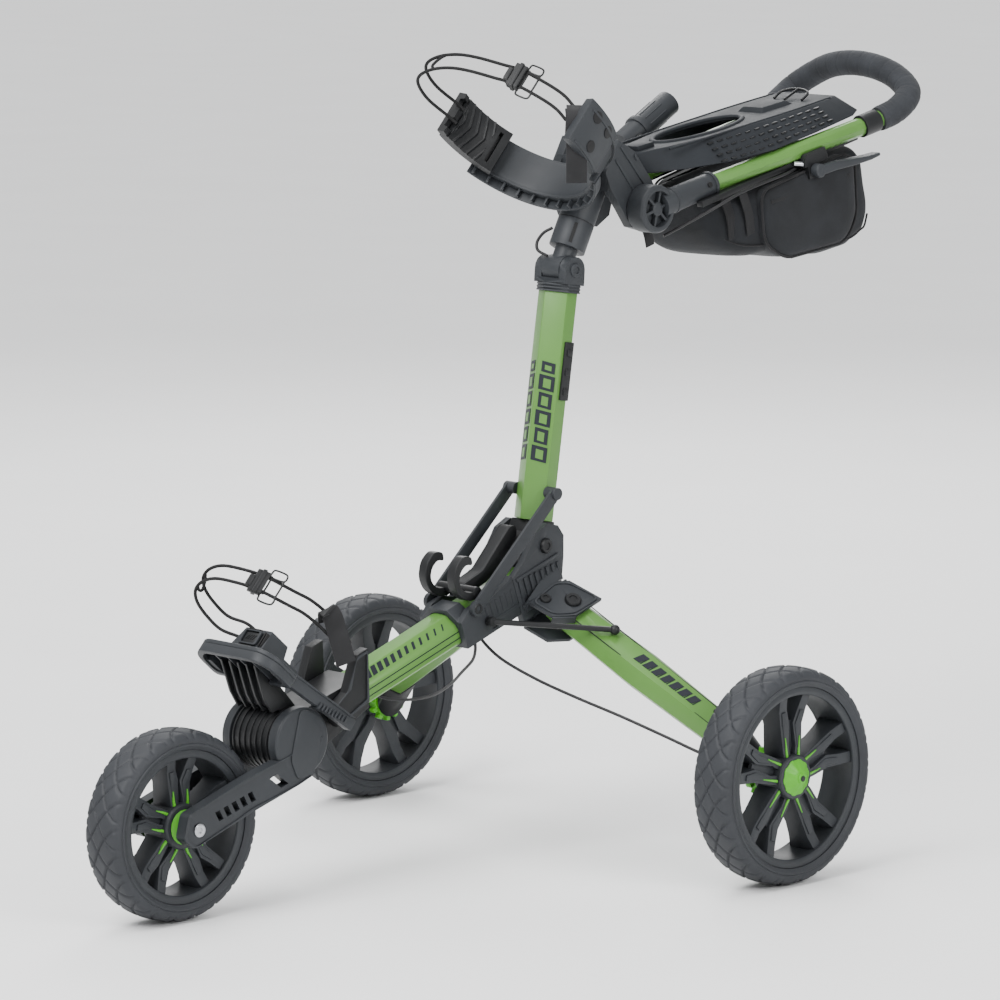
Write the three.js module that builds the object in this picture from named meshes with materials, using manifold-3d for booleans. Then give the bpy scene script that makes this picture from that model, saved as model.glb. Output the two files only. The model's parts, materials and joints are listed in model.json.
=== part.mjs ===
// Three-wheeled folding push cart for a golf bag: a sloping lower tube with a folding front
// fork, a centre hub with two folding rear legs, an upright with a folding neck, two bag
// cradles with elastic cords, and a U-shaped handle with a console, a bag and a brake lever.
// Millimetres, +Z up, the cart faces -Y, and left is +X. Places below are given from the point
// on the floor midway between the rear wheels; the last lines centre the whole on the origin.
import * as THREE from "three";
import { mergeVertices } from "three/addons/utils/BufferGeometryUtils.js";
import { ConvexGeometry } from "three/addons/geometries/ConvexGeometry.js";
import Module from "manifold-3d";

const wasm = await Module();
wasm.setup();

// ---- driving dimensions -------------------------------------------------------------------
const GAP = 0.4; // clearance left between neighbouring pieces
const REAR_WHEEL_R = 120.7;
const FRONT_WHEEL_R = 103.5;
const TYRE_WIDTH = 55;
const HALF_TRACK = 333; // rear wheel centre planes
const WHEELBASE = 595.7;
const AXLE_R = 6;
const FRAME_TILT = THREE.MathUtils.degToRad(19.4); // lower tube above the floor
const TUBE_FRONT = new THREE.Vector3(0, -339, 217); // centre of the lower tube's front end
const TUBE_LENGTH = 272;
const MAIN_PIVOT = new THREE.Vector3(0, -70, 349);
const FORK_PIVOT = new THREE.Vector3(0, -448, 178);
const DRUM_R = 36;
const FORK_INNER = 31.5;
const FORK_OUTER = 46;
const UPRIGHT_LEAN = THREE.MathUtils.degToRad(8.65);
const UPRIGHT_BASE = new THREE.Vector3(0, -57.5, 361);
const UPRIGHT_LENGTH = 272;
const NECK_PIVOT = new THREE.Vector3(0, -14, 655);
const NECK_TOP = new THREE.Vector3(0, 38, 757);
const NECK_R = 21;
const BAG_SLOPE = THREE.MathUtils.degToRad(48.6); // the golf bag's axis above the floor
const CRADLE_R = 102;
const CRADLE_FOOT = new THREE.Vector3(0, -6, 752); // lowest point of the upper cradle's band
const KNUCKLE = new THREE.Vector3(0, 74, 721);
const KNUCKLE_R = 27;
const HANDLE_SLOPE = THREE.MathUtils.degToRad(13.5);
const HANDLE_TUBE_R = 11;
const GRIP_R = 15;
const LEG_TOP = new THREE.Vector3(59, -56, 273);
const LEG_END = new THREE.Vector3(285, -4, 140);
const LEG_UP = new THREE.Vector3(0.534, -0.319, 0.782); // towards the hub's cover plate
const SIDES = 32; // facets of a wheel

// ---- materials ----------------------------------------------------------------------------
const finish = (color, roughness, metalness = 0) =>
  new THREE.MeshStandardMaterial({ color, roughness, metalness });
const GREEN_METAL = finish(0x7fa85f, 0.42, 0.35);
const GREEN_PLASTIC = finish(0x63a83a, 0.45);
const GREY_PLASTIC = finish(0x3c3f44, 0.55);
const BLACK_PLASTIC = finish(0x17181a, 0.5);
const TYRE_RUBBER = finish(0x303236, 0.85);
const FOAM = finish(0x34363b, 0.95);
const FABRIC = finish(0x24272b, 0.95);
const ELASTIC = finish(0x0c0c0d, 0.8);
const STEEL = finish(0x8e9196, 0.35, 0.9);

// ---- helpers ------------------------------------------------------------------------------
const cart = new THREE.Group();
const v3 = (x, y, z) => new THREE.Vector3(x, y, z);
const side = (left) => (left ? 1 : -1);
const suffix = (left) => (left ? "_left" : "_right");

// A closed three.js geometry as a manifold-3d solid.
function solid(geometry) {
  const bare = geometry.index ? geometry.toNonIndexed() : geometry.clone();
  bare.deleteAttribute("normal");
  bare.deleteAttribute("uv");
  const merged = mergeVertices(bare, 1e-4);
  return new wasm.Manifold(
    new wasm.Mesh({
      numProp: 3,
      vertProperties: merged.attributes.position.array,
      triVerts: new Uint32Array(merged.index.array),
    }),
  );
}

function geometryOf(made) {
  const mesh = made.getMesh();
  return new THREE.BufferGeometry()
    .setAttribute("position", new THREE.BufferAttribute(mesh.vertProperties, 3))
    .setIndex(new THREE.BufferAttribute(mesh.triVerts, 1));
}

const join = (...parts) => parts.reduce((all, part) => all.add(part));
const cut = (body, ...tools) => tools.reduce((rest, tool) => rest.subtract(tool), body);

function put(name, made, material) {
  const mesh = new THREE.Mesh(geometryOf(made), material);
  mesh.name = name;
  cart.add(mesh);
  return mesh;
}

function block(x0, x1, y0, y1, z0, z1) {
  const geometry = new THREE.BoxGeometry(x1 - x0, y1 - y0, z1 - z0);
  return solid(geometry.translate((x0 + x1) / 2, (y0 + y1) / 2, (z0 + z1) / 2));
}

const hull = (points) => solid(new ConvexGeometry(points));

// A round bar between two points.
function bar(from, to, radius, sides = 16, endRadius = radius) {
  const along = to.clone().sub(from);
  const geometry = new THREE.CylinderGeometry(endRadius, radius, along.length(), sides);
  const turn = new THREE.Quaternion().setFromUnitVectors(v3(0, 1, 0), along.clone().normalize());
  geometry.applyQuaternion(turn);
  const middle = from.clone().add(to).multiplyScalar(0.5);
  return solid(geometry.translate(middle.x, middle.y, middle.z));
}

const crossBar = (centre, x0, x1, radius, sides = 24) =>
  bar(v3(x0, centre.y, centre.z), v3(x1, centre.y, centre.z), radius, sides);

// A plate in the side view: an outline of [y, z] points, thick from x0 to x1.
function plate(outline, x0, x1) {
  const shape = new THREE.Shape(outline.map(([y, z]) => new THREE.Vector2(y, z)));
  const geometry = new THREE.ExtrudeGeometry(shape, { depth: x1 - x0, bevelEnabled: false });
  const turn = new THREE.Matrix4().makeBasis(v3(0, 1, 0), v3(0, 0, 1), v3(1, 0, 0));
  return solid(geometry.applyMatrix4(turn).translate(x0, 0, 0));
}

// A bar of a given [x, y] section along a straight line; up says where the section's y points.
function beam(section, from, to, up) {
  const along = to.clone().sub(from);
  const shape = new THREE.Shape(section.map(([x, y]) => new THREE.Vector2(x, y)));
  const geometry = new THREE.ExtrudeGeometry(shape, {
    depth: along.length(),
    bevelEnabled: false,
  });
  const zAxis = along.normalize();
  const xAxis = up.clone().cross(zAxis).normalize();
  const yAxis = zAxis.clone().cross(xAxis);
  geometry.applyMatrix4(new THREE.Matrix4().makeBasis(xAxis, yAxis, zAxis));
  return solid(geometry.translate(from.x, from.y, from.z));
}

// A cord or tube along a smooth curve through the points.
function cord(points, radius, steps, sides = 8) {
  const curve = new THREE.CatmullRomCurve3(points, false, "centripetal");
  const ring = Array.from({ length: sides }, (_, i) => {
    const angle = (i / sides) * 2 * Math.PI;
    return new THREE.Vector2(Math.cos(angle) * radius, Math.sin(angle) * radius);
  });
  const shape = new THREE.Shape(ring);
  return solid(new THREE.ExtrudeGeometry(shape, { steps, extrudePath: curve, bevelEnabled: false }));
}

// A turned piece about the X axis: its profile is a closed loop of [radius, x] points.
function turned(profile, segments = SIDES) {
  const points = profile.map(([r, x]) => new THREE.Vector2(r, x));
  points.push(points[0].clone());
  const geometry = new THREE.LatheGeometry(points, segments);
  return solid(geometry.rotateZ(-Math.PI / 2));
}

// Tilted frames: a point given along the lower tube (s) and above its centre line (h).
const frameAlong = v3(0, Math.cos(FRAME_TILT), Math.sin(FRAME_TILT));
const frameUp = v3(0, -Math.sin(FRAME_TILT), Math.cos(FRAME_TILT));
const onFrame = (x, s, h) =>
  v3(x, 0, 0).add(TUBE_FRONT).addScaledVector(frameAlong, s).addScaledVector(frameUp, h);
const uprightUp = v3(0, Math.sin(UPRIGHT_LEAN), Math.cos(UPRIGHT_LEAN));
const uprightFront = v3(0, -Math.cos(UPRIGHT_LEAN), Math.sin(UPRIGHT_LEAN));
const onUpright = (x, front, up) =>
  v3(x, 0, 0).add(UPRIGHT_BASE).addScaledVector(uprightUp, up).addScaledVector(uprightFront, front);
const bagUp = v3(0, Math.cos(BAG_SLOPE), Math.sin(BAG_SLOPE));
const bagFront = v3(0, -Math.sin(BAG_SLOPE), Math.cos(BAG_SLOPE));
const onCradle = (x, front, up) =>
  v3(x, 0, 0).add(CRADLE_FOOT).addScaledVector(bagFront, front).addScaledVector(bagUp, up);
const handleBack = v3(0, Math.cos(HANDLE_SLOPE), Math.sin(HANDLE_SLOPE));
const handleUp = v3(0, -Math.sin(HANDLE_SLOPE), Math.cos(HANDLE_SLOPE));
const onHandle = (x, back, up) =>
  v3(x, 0, 0).add(KNUCKLE).addScaledVector(handleBack, back).addScaledVector(handleUp, up);

// Corners of a box in one of the tilted frames.
function corners(place, [x0, x1], [s0, s1], [h0, h1]) {
  const points = [];
  for (const x of [x0, x1]) {
    for (const s of [s0, s1]) {
      for (const h of [h0, h1]) {
        points.push(place(x, s, h));
      }
    }
  }
  return points;
}

// ---- wheels -------------------------------------------------------------------------------
function tyre(radius) {
  const half = TYRE_WIDTH / 2;
  const inner = radius - 20;
  return turned([
    [inner, -half + 3],
    [radius - 15, -half],
    [radius - 6, -half + 3],
    [radius, -half + 12],
    [radius, half - 12],
    [radius - 6, half - 3],
    [radius - 15, half],
    [inner, half - 3],
  ]);
}

// A point in a wheel's own plane, at a radius and an angle, x along the axle.
const polar = (x, r, angle) => v3(x, r * Math.cos(angle), r * Math.sin(angle));

// One bent spoke: out from the hub, a kink half way, then on to the rim.
function spoke(angle, lean, reach) {
  const kinkR = 0.62 * reach;
  const root = angle + lean * 0.42;
  const kink = angle + lean * 0.17;
  const end = angle + lean * 0.2;
  const station = (r, at, halfWidth, halfDepth) => {
    const ring = [];
    for (const x of [-halfDepth, halfDepth]) {
      for (const across of [-halfWidth, halfWidth]) {
        const point = polar(x, r, at);
        ring.push(point.add(v3(0, -Math.sin(at) * across, Math.cos(at) * across)));
      }
    }
    return ring;
  };
  const inner = hull([...station(12, root, 4, 13), ...station(kinkR, kink, 6, 11)]);
  const outer = hull([...station(kinkR, kink, 6, 11), ...station(reach, end, 4.5, 13)]);
  return join(inner, outer);
}

function rim(radius) {
  const outer = radius - 20 - GAP;
  const half = TYRE_WIDTH / 2 - 5;
  const band = turned([
    [outer - 9, -half],
    [outer, -half],
    [outer, half],
    [outer - 9, half],
    [outer - 6, 0],
  ]);
  const hub = turned([
    [AXLE_R + GAP, -21],
    [19, -21],
    [19, 19],
    [AXLE_R + GAP, 19],
  ], 20);
  let made = join(band, hub);
  for (let pair = 0; pair < 5; pair += 1) {
    const angle = Math.PI / 2 + (pair * 2 * Math.PI) / 5;
    for (const lean of [-1, 1]) {
      made = join(made, spoke(angle, lean, outer - 3));
    }
  }
  const bore = turned([
    [0, -40],
    [AXLE_R + GAP, -40],
    [AXLE_R + GAP, 40],
    [0, 40],
  ], 20);
  return cut(made, bore);
}

function placeWheel(name, parts, centre) {
  for (const [part, made, material] of parts) {
    const mesh = put(name + part, made, material);
    mesh.position.copy(centre);
  }
}

// The domed cap on the outer face of a rear hub.
function hubCap(out) {
  const cap = turned([
    [0, 19.5],
    [20, 19.5],
    [17, 22],
    [9, 26],
    [0, 27],
  ], 20);
  return out > 0 ? cap : cap.scale([-1, 1, 1]);
}

// The toothed brake wheel on the inner side of a rear hub.
function brakeGear(out) {
  const teeth = 12;
  let gear = turned([
    [AXLE_R + GAP, -22],
    [22, -22],
    [22, -34],
    [AXLE_R + GAP, -34],
  ].reverse(), 24);
  for (let i = 0; i < teeth; i += 1) {
    const angle = (i * 2 * Math.PI) / teeth;
    const tooth = [];
    for (const x of [-33, -25]) {
      for (const [r, spread] of [[20, 0.15], [27, 0.09]]) {
        tooth.push(polar(x, r, angle - spread), polar(x, r, angle + spread));
      }
    }
    gear = join(gear, hull(tooth));
  }
  return out > 0 ? gear : gear.scale([-1, 1, 1]);
}

function rearWheels() {
  for (const left of [true, false]) {
    const out = side(left);
    const centre = v3(out * HALF_TRACK, 0, REAR_WHEEL_R);
    placeWheel("rear", [
      ["_tyre" + suffix(left), tyre(REAR_WHEEL_R), TYRE_RUBBER],
      ["_rim" + suffix(left), rim(REAR_WHEEL_R).scale([out, 1, 1]), GREY_PLASTIC],
      ["_hub_cap" + suffix(left), hubCap(out), GREEN_PLASTIC],
      ["_brake_gear" + suffix(left), brakeGear(out), GREEN_PLASTIC],
    ], centre);
  }
}

// The front wheel turns on a green hub that shows a cone on each side.
function frontWheel() {
  const hub = turned([
    [5.4, -29],
    [10, -29],
    [19, -21.4],
    [19, -21.4 + GAP],
    [12, -20],
    [12, 20],
    [19, 21],
    [19, 21.4],
    [10, 29],
    [5.4, 29],
  ], 20);
  const bore = crossBar(v3(0, 0, 0), -40, 40, 19.4, 20);
  placeWheel("front", [
    ["_tyre", tyre(FRONT_WHEEL_R), TYRE_RUBBER],
    ["_rim", join(cut(rim(FRONT_WHEEL_R), bore), frontHubShell()), GREY_PLASTIC],
    ["_hub_core", hub, GREEN_PLASTIC],
  ], v3(0, -WHEELBASE, FRONT_WHEEL_R));
}

// The rim's hub ring round the green core.
function frontHubShell() {
  return turned([
    [12.4, -19],
    [23, -19],
    [23, 19],
    [12.4, 19],
  ], 20);
}

// ---- frame: lower tube, yoke, foot ----------------------------------------------------------
// The tube's arched section, [x, height] from its centre line.
const ARCH = [
  [-25, -14], [-22, -17], [22, -17], [25, -14], [25, 0], [22, 6], [11, 16], [5, 17],
  [-5, 17], [-11, 16], [-22, 6], [-25, 0],
];
const grow = (section, by) =>
  section.map(([x, h]) => [x + Math.sign(x) * by, h + Math.sign(h) * by]);

function lowerTube() {
  const made = beam(ARCH, onFrame(0, 0, 0), onFrame(0, TUBE_LENGTH, 0), frameUp);
  put("lower_tube", made, GREEN_METAL);
}

function frontYoke() {
  const drum = crossBar(FORK_PIVOT, -30, 30, DRUM_R, 28);
  const neck = hull([
    ...corners(onFrame, [-27, 27], [-12, -GAP], [-19, 19]),
    v3(-27, -432, 208), v3(27, -432, 208), v3(-27, -428, 150), v3(27, -428, 150),
  ]);
  const wall = [[-350, 268], [-347, 208], [-392, 186], [-404, 205], [-380, 222], [-366, 262]];
  const floor = block(-39, 39, -392, -372, 188, 204);
  const bore = crossBar(FORK_PIVOT, -40, 40, 8.6, 16);
  const made = join(drum, neck, plate(wall, 30, 42), plate(wall, -42, -30), floor);
  put("front_yoke", cut(made, bore), BLACK_PLASTIC);
}

const FOOT = v3(0, -507, 278); // middle of the bag foot's front edge
const onFoot = (x, back, up) =>
  v3(x, 0, 0).add(FOOT).addScaledVector(bagFront, -back).addScaledVector(bagUp, up);

function bagFoot() {
  let made = hull([
    ...corners(onFoot, [-46, 46], [-6, 48], [-8, 8]),
    ...corners(onFoot, [-62, 62], [4, 40], [-8, 8]),
  ]);
  for (const out of [1, -1]) {
    const arm = hull([
      ...corners(onFoot, [(FORK_OUTER + 1) * out, 58 * out], [20, 38], [-7, 7]),
      ...corners(onFoot, [(FORK_OUTER + 1) * out, 58 * out], [138, 150], [8, 20]),
    ]);
    const tie = hull(corners(onFoot, [42.4 * out, 52 * out], [139, 149], [9, 19]));
    made = join(made, arm, tie);
  }
  const gusset = hull([
    ...corners(onFoot, [-22, 22], [6, 46], [-20, -7]),
    ...corners(onFoot, [-16, 16], [20, 40], [-40, -36]),
  ]);
  put("bag_foot", join(made, gusset), GREY_PLASTIC);
}

function strapHousing() {
  const shell = hull([
    ...corners(onFoot, [-14, 36], [2, 40], [8 + GAP, 12]),
    ...corners(onFoot, [-10, 32], [6, 36], [34, 36]),
  ]);
  const pocket = hull(corners(onFoot, [0, 22], [-4, 12], [14, 30]));
  put("strap_housing", cut(shell, pocket), GREY_PLASTIC);
  const button = hull(corners(onFoot, [1, 21], [0, 10], [15, 29]));
  put("ratchet_button", button, BLACK_PLASTIC);
}

// ---- centre hub, slide collar, links --------------------------------------------------------
const legDir = LEG_END.clone().sub(LEG_TOP).normalize();
const legUp = LEG_UP.clone().addScaledVector(legDir, -LEG_UP.dot(legDir)).normalize();
const legBack = legUp.clone().cross(legDir); // towards the rear of the left leg
// A point on the left leg, or its mirror on the right leg.
const onLeg = (out) => (along, back, up) => {
  const point = LEG_TOP.clone();
  point.addScaledVector(legDir, along).addScaledVector(legBack, back).addScaledVector(legUp, up);
  point.x *= out;
  return point;
};

const COVER = [[-30, -40], [1.5, -35], [17, -14], [19, 28], [-23, 20], [-34, 4]];

function hubHousing() {
  const cheek = [
    [-44, 306], [-41, 334], [-41, 358], [-50, 370], [-66, 374], [-84, 365], [-104, 334],
    [-121.5, 317], [-103.5, 266], [-74, 276],
  ];
  const floorBack = TUBE_LENGTH + 34;
  const floor = hull(corners(onFrame, [-34, 34], [240, floorBack], [-23, -17 - GAP]));
  const wall = hull(corners(onFrame, [-34, 34], [TUBE_LENGTH + 12, floorBack], [-22, 2]));
  let made = join(plate(cheek, 25.5, 34), plate(cheek, -34, -25.5), floor, wall);
  for (const out of [1, -1]) {
    const place = onLeg(out);
    for (const [low, high] of [[17.6, 22], [-22, -17.6]]) {
      const sheet = [];
      for (const [along, back] of COVER) {
        sheet.push(place(along, back, low), place(along, back, high));
      }
      made = join(made, hull(sheet));
    }
    const web = hull([
      ...corners(place, [-34, -31], [-38, 16], [-22, 22]),
      v3(28 * out, -46, 300), v3(28 * out, -104, 280),
      v3(28 * out, -98, 268), v3(28 * out, -50, 330),
    ]);
    made = join(made, web);
    const boltHole = bar(place(0, 0, -40), place(0, 0, 40), 5.4);
    made = cut(made, boltHole);
  }
  const [roomFront, roomBack] = [onFrame(0, 200, 0), onFrame(0, TUBE_LENGTH + 1, 0)];
  const bay = beam(grow(ARCH, GAP), roomFront, roomBack, frameUp);
  const footRoom = crossBar(MAIN_PIVOT, -25.5, 25.5, 34, 24);
  const pivotHole = crossBar(MAIN_PIVOT, -60, 60, 5.4, 16);
  put("hub_housing", cut(made, bay, footRoom, pivotHole), GREY_PLASTIC);
  put("main_pivot_bolt", boltThrough(MAIN_PIVOT, 36), STEEL);
  for (const left of [true, false]) {
    const place = onLeg(side(left));
    const shank = bar(place(0, 0, -23), place(0, 0, 22.8), 5);
    const head = bar(place(0, 0, 22.4), place(0, 0, 26), 9);
    const nut = bar(place(0, 0, -26), place(0, 0, -22.4), 8, 6);
    put("leg_pivot_bolt" + suffix(left), join(shank, head, nut), STEEL);
  }
}

function boltThrough(centre, reach) {
  const shank = crossBar(centre, -reach, reach, 5, 16);
  const headLeft = crossBar(centre, 34 + GAP, reach + 1.5, 9, 16);
  const headRight = crossBar(centre, -reach - 1.5, -34 - GAP, 9, 16);
  return join(shank, headLeft, headRight);
}

function slideCollar() {
  const ring = hull([
    ...corners(onFrame, [-31, 31], [150, 172], [-22, 8]),
    ...corners(onFrame, [-14, 14], [150, 172], [8, 23]),
  ]);
  const flank = (x0, x1) => {
    const outline = [
      [150, -22], [176, -22], [200, -15], [238, -22], [238, 26],
      [198, 12], [186, 19], [166, 19], [150, 10],
    ];
    return plate(outline.map(([s, h]) => {
      const point = onFrame(0, s, h);
      return [point.y, point.z];
    }), x0, x1);
  };
  const sill = hull(corners(onFrame, [-34, 34], [150, 238], [-22, -17 - GAP]));
  const room = beam(grow(ARCH, GAP), onFrame(0, 140, 0), onFrame(0, 250, 0), frameUp);
  const made = join(ring, flank(25.4, 34), flank(-34, -25.4), sill);
  put("slide_collar", cut(made, room), GREY_PLASTIC);
}

const LINK_LOW = onFrame(0, 174.5, 17);
const LINK_TOP = v3(0, -57, 407);

function sideLinks() {
  for (const left of [true, false]) {
    const out = side(left);
    const at = (point, x) => v3(out * x, point.y, point.z);
    const strap = hull([
      ...edgeOf(at(LINK_LOW, 34.5), at(LINK_TOP, 34.5), 7.5),
      ...edgeOf(at(LINK_LOW, 38), at(LINK_TOP, 38), 7.5),
    ]);
    const lowBoss = bar(at(LINK_LOW, 34.5), at(LINK_LOW, 40), 9);
    const topBoss = bar(at(LINK_TOP, 24), at(LINK_TOP, 41), 7);
    put("side_link" + suffix(left), join(strap, lowBoss, topBoss), GREY_PLASTIC);
  }
}

// The four corners of a flat strap's face between two points in the side view.
function edgeOf(from, to, halfWidth) {
  const along = to.clone().sub(from).normalize();
  const across = v3(1, 0, 0).cross(along).multiplyScalar(halfWidth);
  return [
    from.clone().add(across), from.clone().sub(across),
    to.clone().add(across), to.clone().sub(across),
  ];
}

const ROD_LOW = v3(40, -160, 274);
const ROD_TOP_ALONG = 61;

function legRods() {
  for (const left of [true, false]) {
    const out = side(left);
    const low = v3(ROD_LOW.x * out, ROD_LOW.y, ROD_LOW.z);
    const top = onLeg(out)(ROD_TOP_ALONG, 3, 23);
    const rod = bar(low, top, 3.2, 10);
    const ball = solid(new THREE.SphereGeometry(6, 12, 8).translate(top.x, top.y, top.z));
    const eye = bar(v3(36 * out, low.y, low.z), v3(44 * out, low.y, low.z), 5.5, 12);
    put("leg_rod" + suffix(left), join(rod, ball, eye), BLACK_PLASTIC);
  }
}

const LATCH_PIVOT = v3(0, -172, 307);

function foldLatch() {
  const shaft = crossBar(LATCH_PIVOT, -30, 30, 6.5, 16);
  const arm = [
    [-176, 302], [-166, 300], [-133, 316], [-104, 344], [-90, 362],
    [-93, 372], [-101, 372], [-120, 352], [-144, 326], [-174, 314],
  ];
  let made = join(shaft, plate(arm, -8, 8));
  const hook = [
    [-170, 300], [-184, 298], [-200, 306], [-208, 322], [-204, 340], [-192, 350], [-180, 348],
    [-178, 338], [-188, 340], [-197, 332], [-199, 320], [-193, 311], [-182, 307], [-170, 312],
  ];
  for (const out of [1, -1]) {
    made = join(made, plate(hook, out > 0 ? 17 : -29, out > 0 ? 29 : -17));
  }
  put("fold_latch", made, BLACK_PLASTIC);
}

// ---- rear legs ------------------------------------------------------------------------------
const LEG_SECTION = [[-25, 0], [-15, 15], [11, 15.5], [22, 5], [22, -5], [11, -15.5], [-15, -15]];
const LEG_OUTER = 250;

function rearLegs() {
  for (const left of [true, false]) {
    const out = side(left);
    const place = onLeg(out);
    const station = (along, scale) =>
      LEG_SECTION.map(([back, up]) => place(along, back * scale, up * Math.min(scale, 1.08)));
    const body = hull([...station(-16, 0.92), ...station(110, 1.08), ...station(LEG_OUTER, 0.9)]);
    const boltHole = bar(place(0, 0, -40), place(0, 0, 40), 5.4);
    put("rear_leg" + suffix(left), cut(body, boltHole), GREEN_METAL);

    const axle = v3(0, 0, REAR_WHEEL_R);
    const end = LEG_OUTER + GAP;
    const socket = hull([
      ...LEG_SECTION.map(([back, up]) => place(end, back, up)),
      ...circle(axle, out * 296, 22),
    ]);
    const [stubIn, stubOut] = [290 * out, 351 * out].sort((a, b) => a - b);
    const stub = crossBar(axle, stubIn, stubOut, AXLE_R, 16);
    put("axle_housing" + suffix(left), join(socket, stub), BLACK_PLASTIC);

    const pawlAt = v3(out * 304, -40, 134);
    const pawl = hull([
      ...circle(pawlAt, out * 299, 7), ...circle(pawlAt, out * 308, 7),
      v3(out * 299, -29.5, 126), v3(out * 308, -29.5, 126),
      v3(out * 299, -30, 119), v3(out * 308, -30, 119),
    ]);
    put("brake_pawl" + suffix(left), pawl, BLACK_PLASTIC);
  }
}

function circle(centre, x, radius, sides = 16) {
  return Array.from({ length: sides }, (_, i) => {
    const angle = (i / sides) * 2 * Math.PI;
    return v3(x, centre.y + Math.cos(angle) * radius, centre.z + Math.sin(angle) * radius);
  });
}

// ---- front fork -----------------------------------------------------------------------------
function frontFork() {
  const axle = v3(0, -WHEELBASE, FRONT_WHEEL_R);
  const leg = [
    [-418, 182], [-434, 140], [-452, 133], [-522, 112], [-604, 84], [-618, 96], [-611, 122],
    [-592, 128], [-522, 152], [-470, 165],
  ];
  const cheek = (x0, x1) => join(
    crossBar(FORK_PIVOT, x0, x1, 38, 28),
    plate(leg, x0, x1),
  );
  const shaft = crossBar(FORK_PIVOT, -40, 40, 8, 16);
  const hole = crossBar(axle, -60, 60, 5.4, 16);
  const made = join(cheek(FORK_INNER, FORK_OUTER), cheek(-FORK_OUTER, -FORK_INNER), shaft);
  put("front_fork", cut(made, hole), GREY_PLASTIC);
  put("front_axle", crossBar(axle, -FORK_OUTER + 1, FORK_OUTER - 1, 5, 16), STEEL);
}

// ---- upright and neck -----------------------------------------------------------------------
const HEX = [[0, 21], [23, 8], [23, -8], [0, -21], [-23, -8], [-23, 8]];

function upright() {
  const low = 13;
  const tube = beam(HEX, onUpright(0, 0, low), onUpright(0, 0, UPRIGHT_LENGTH), uprightFront);
  put("upright_tube", tube, GREEN_METAL);

  const foot = join(
    crossBar(MAIN_PIVOT, -22, 22, 16, 24),
    hull([
      ...corners(onUpright, [-20, 20], [-14, 14], [4, low - GAP]),
      ...corners(onUpright, [-20, 20], [0, 20], [-10, 0]),
    ]),
  );
  put("upright_foot", cut(foot, crossBar(MAIN_PIVOT, -60, 60, 5.4, 16)), BLACK_PLASTIC);

  const top = UPRIGHT_LENGTH + GAP;
  const sleeve = beam(grow(HEX, 1.5), onUpright(0, 0, top), onUpright(0, 0, top + 9), uprightFront);
  const shoulder = hull([
    ...HEX.map(([x, front]) => onUpright(x, front, top + 8)),
    ...corners(onUpright, [-24, 24], [-15, 15], [top + 10, top + 14]),
  ]);
  const ear = (x0, x1) => hull([
    ...corners(onUpright, [x0, x1], [-15, 15], [top + 8, top + 12]),
    ...circle(NECK_PIVOT, x0, 15), ...circle(NECK_PIVOT, x1, 15),
  ]);
  const tongueRoom = crossBar(NECK_PIVOT, -14, 14, 16.6, 24);
  const cap = cut(join(sleeve, shoulder, ear(14, 25), ear(-25, -14)), tongueRoom);
  const pin = crossBar(NECK_PIVOT, -26, 26, 6, 16);
  put("upright_cap", join(cap, pin), GREY_PLASTIC);
}

const neckUp = NECK_TOP.clone().sub(NECK_PIVOT).normalize();
const onNeck = (along) => NECK_PIVOT.clone().addScaledVector(neckUp, along);

function neck() {
  const tongue = crossBar(NECK_PIVOT, -13.4, 13.4, 15.8, 24);
  const link = bar(onNeck(5), onNeck(30), 13, 16);
  const barrel = bar(onNeck(24), onNeck(57), NECK_R, 24);
  const made = cut(join(tongue, link, barrel), crossBar(NECK_PIVOT, -30, 30, 6.5, 16));
  put("neck_sleeve", made, GREY_PLASTIC);
}

const KNUCKLE_IN = 45; // parting plane between a fixed knuckle disc and the handle's disc

function headBracket() {
  const barrel = bar(onNeck(58), onNeck(112), NECK_R, 24);
  const arm = [
    [14, 764], [34, 800], [60, 786], [88, 752], [104, 728],
    [98, 706], [78, 694], [56, 700], [40, 722], [24, 742],
  ];
  const beamAcross = block(-40, 40, 22, 66, 742, 780);
  const nose = hull([
    ...corners(onCradle, [-16, 16], [-8, -6.5], [-14, 22]),
    ...corners(onCradle, [-16, 16], [-34, -30], [-14, 22]),
  ]);
  const made = join(
    barrel, beamAcross, nose,
    plate(arm, 32, KNUCKLE_IN - GAP), plate(arm, GAP - KNUCKLE_IN, -32),
  );
  put("head_bracket", made, GREY_PLASTIC);
}

// A stretch of a ring round the bag: angles in degrees from the cradle's foot, + towards left.
function arcBand(place, inner, outer, from, to, low, high, steps) {
  const shape = new THREE.Shape();
  const point = (r, i) => {
    const angle = THREE.MathUtils.degToRad(from + ((to - from) * i) / steps);
    return new THREE.Vector2(r * Math.sin(angle), CRADLE_R - r * Math.cos(angle));
  };
  const outline = [];
  for (let i = 0; i <= steps; i += 1) {
    outline.push(point(outer, i));
  }
  for (let i = steps; i >= 0; i -= 1) {
    outline.push(point(inner, i));
  }
  shape.setFromPoints(outline);
  const geometry = new THREE.ExtrudeGeometry(shape, { depth: high - low, bevelEnabled: false });
  const turn = new THREE.Matrix4().makeBasis(v3(1, 0, 0), bagFront.clone(), bagUp.clone().negate());
  turn.premultiply(new THREE.Matrix4().makeTranslation(...place(0, 0, high).toArray()));
  return solid(geometry.applyMatrix4(turn));
}

function upperCradle() {
  const band = arcBand(onCradle, CRADLE_R, CRADLE_R + 6, -92, 96, -18, 24, 20);
  const ear = arcBand(onCradle, CRADLE_R - 5, CRADLE_R + 8, 62, 98, -22, 34, 4);
  const rib = arcBand(onCradle, CRADLE_R + 4, CRADLE_R + 14, -60, 60, -30, -16, 10);
  put("upper_cradle", join(band, ear, rib), GREY_PLASTIC);
  const pad = arcBand(onCradle, CRADLE_R - 13, CRADLE_R - GAP, -98, -50, -24, 30, 8);
  put("cradle_pad", pad, GREY_PLASTIC);
}

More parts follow.
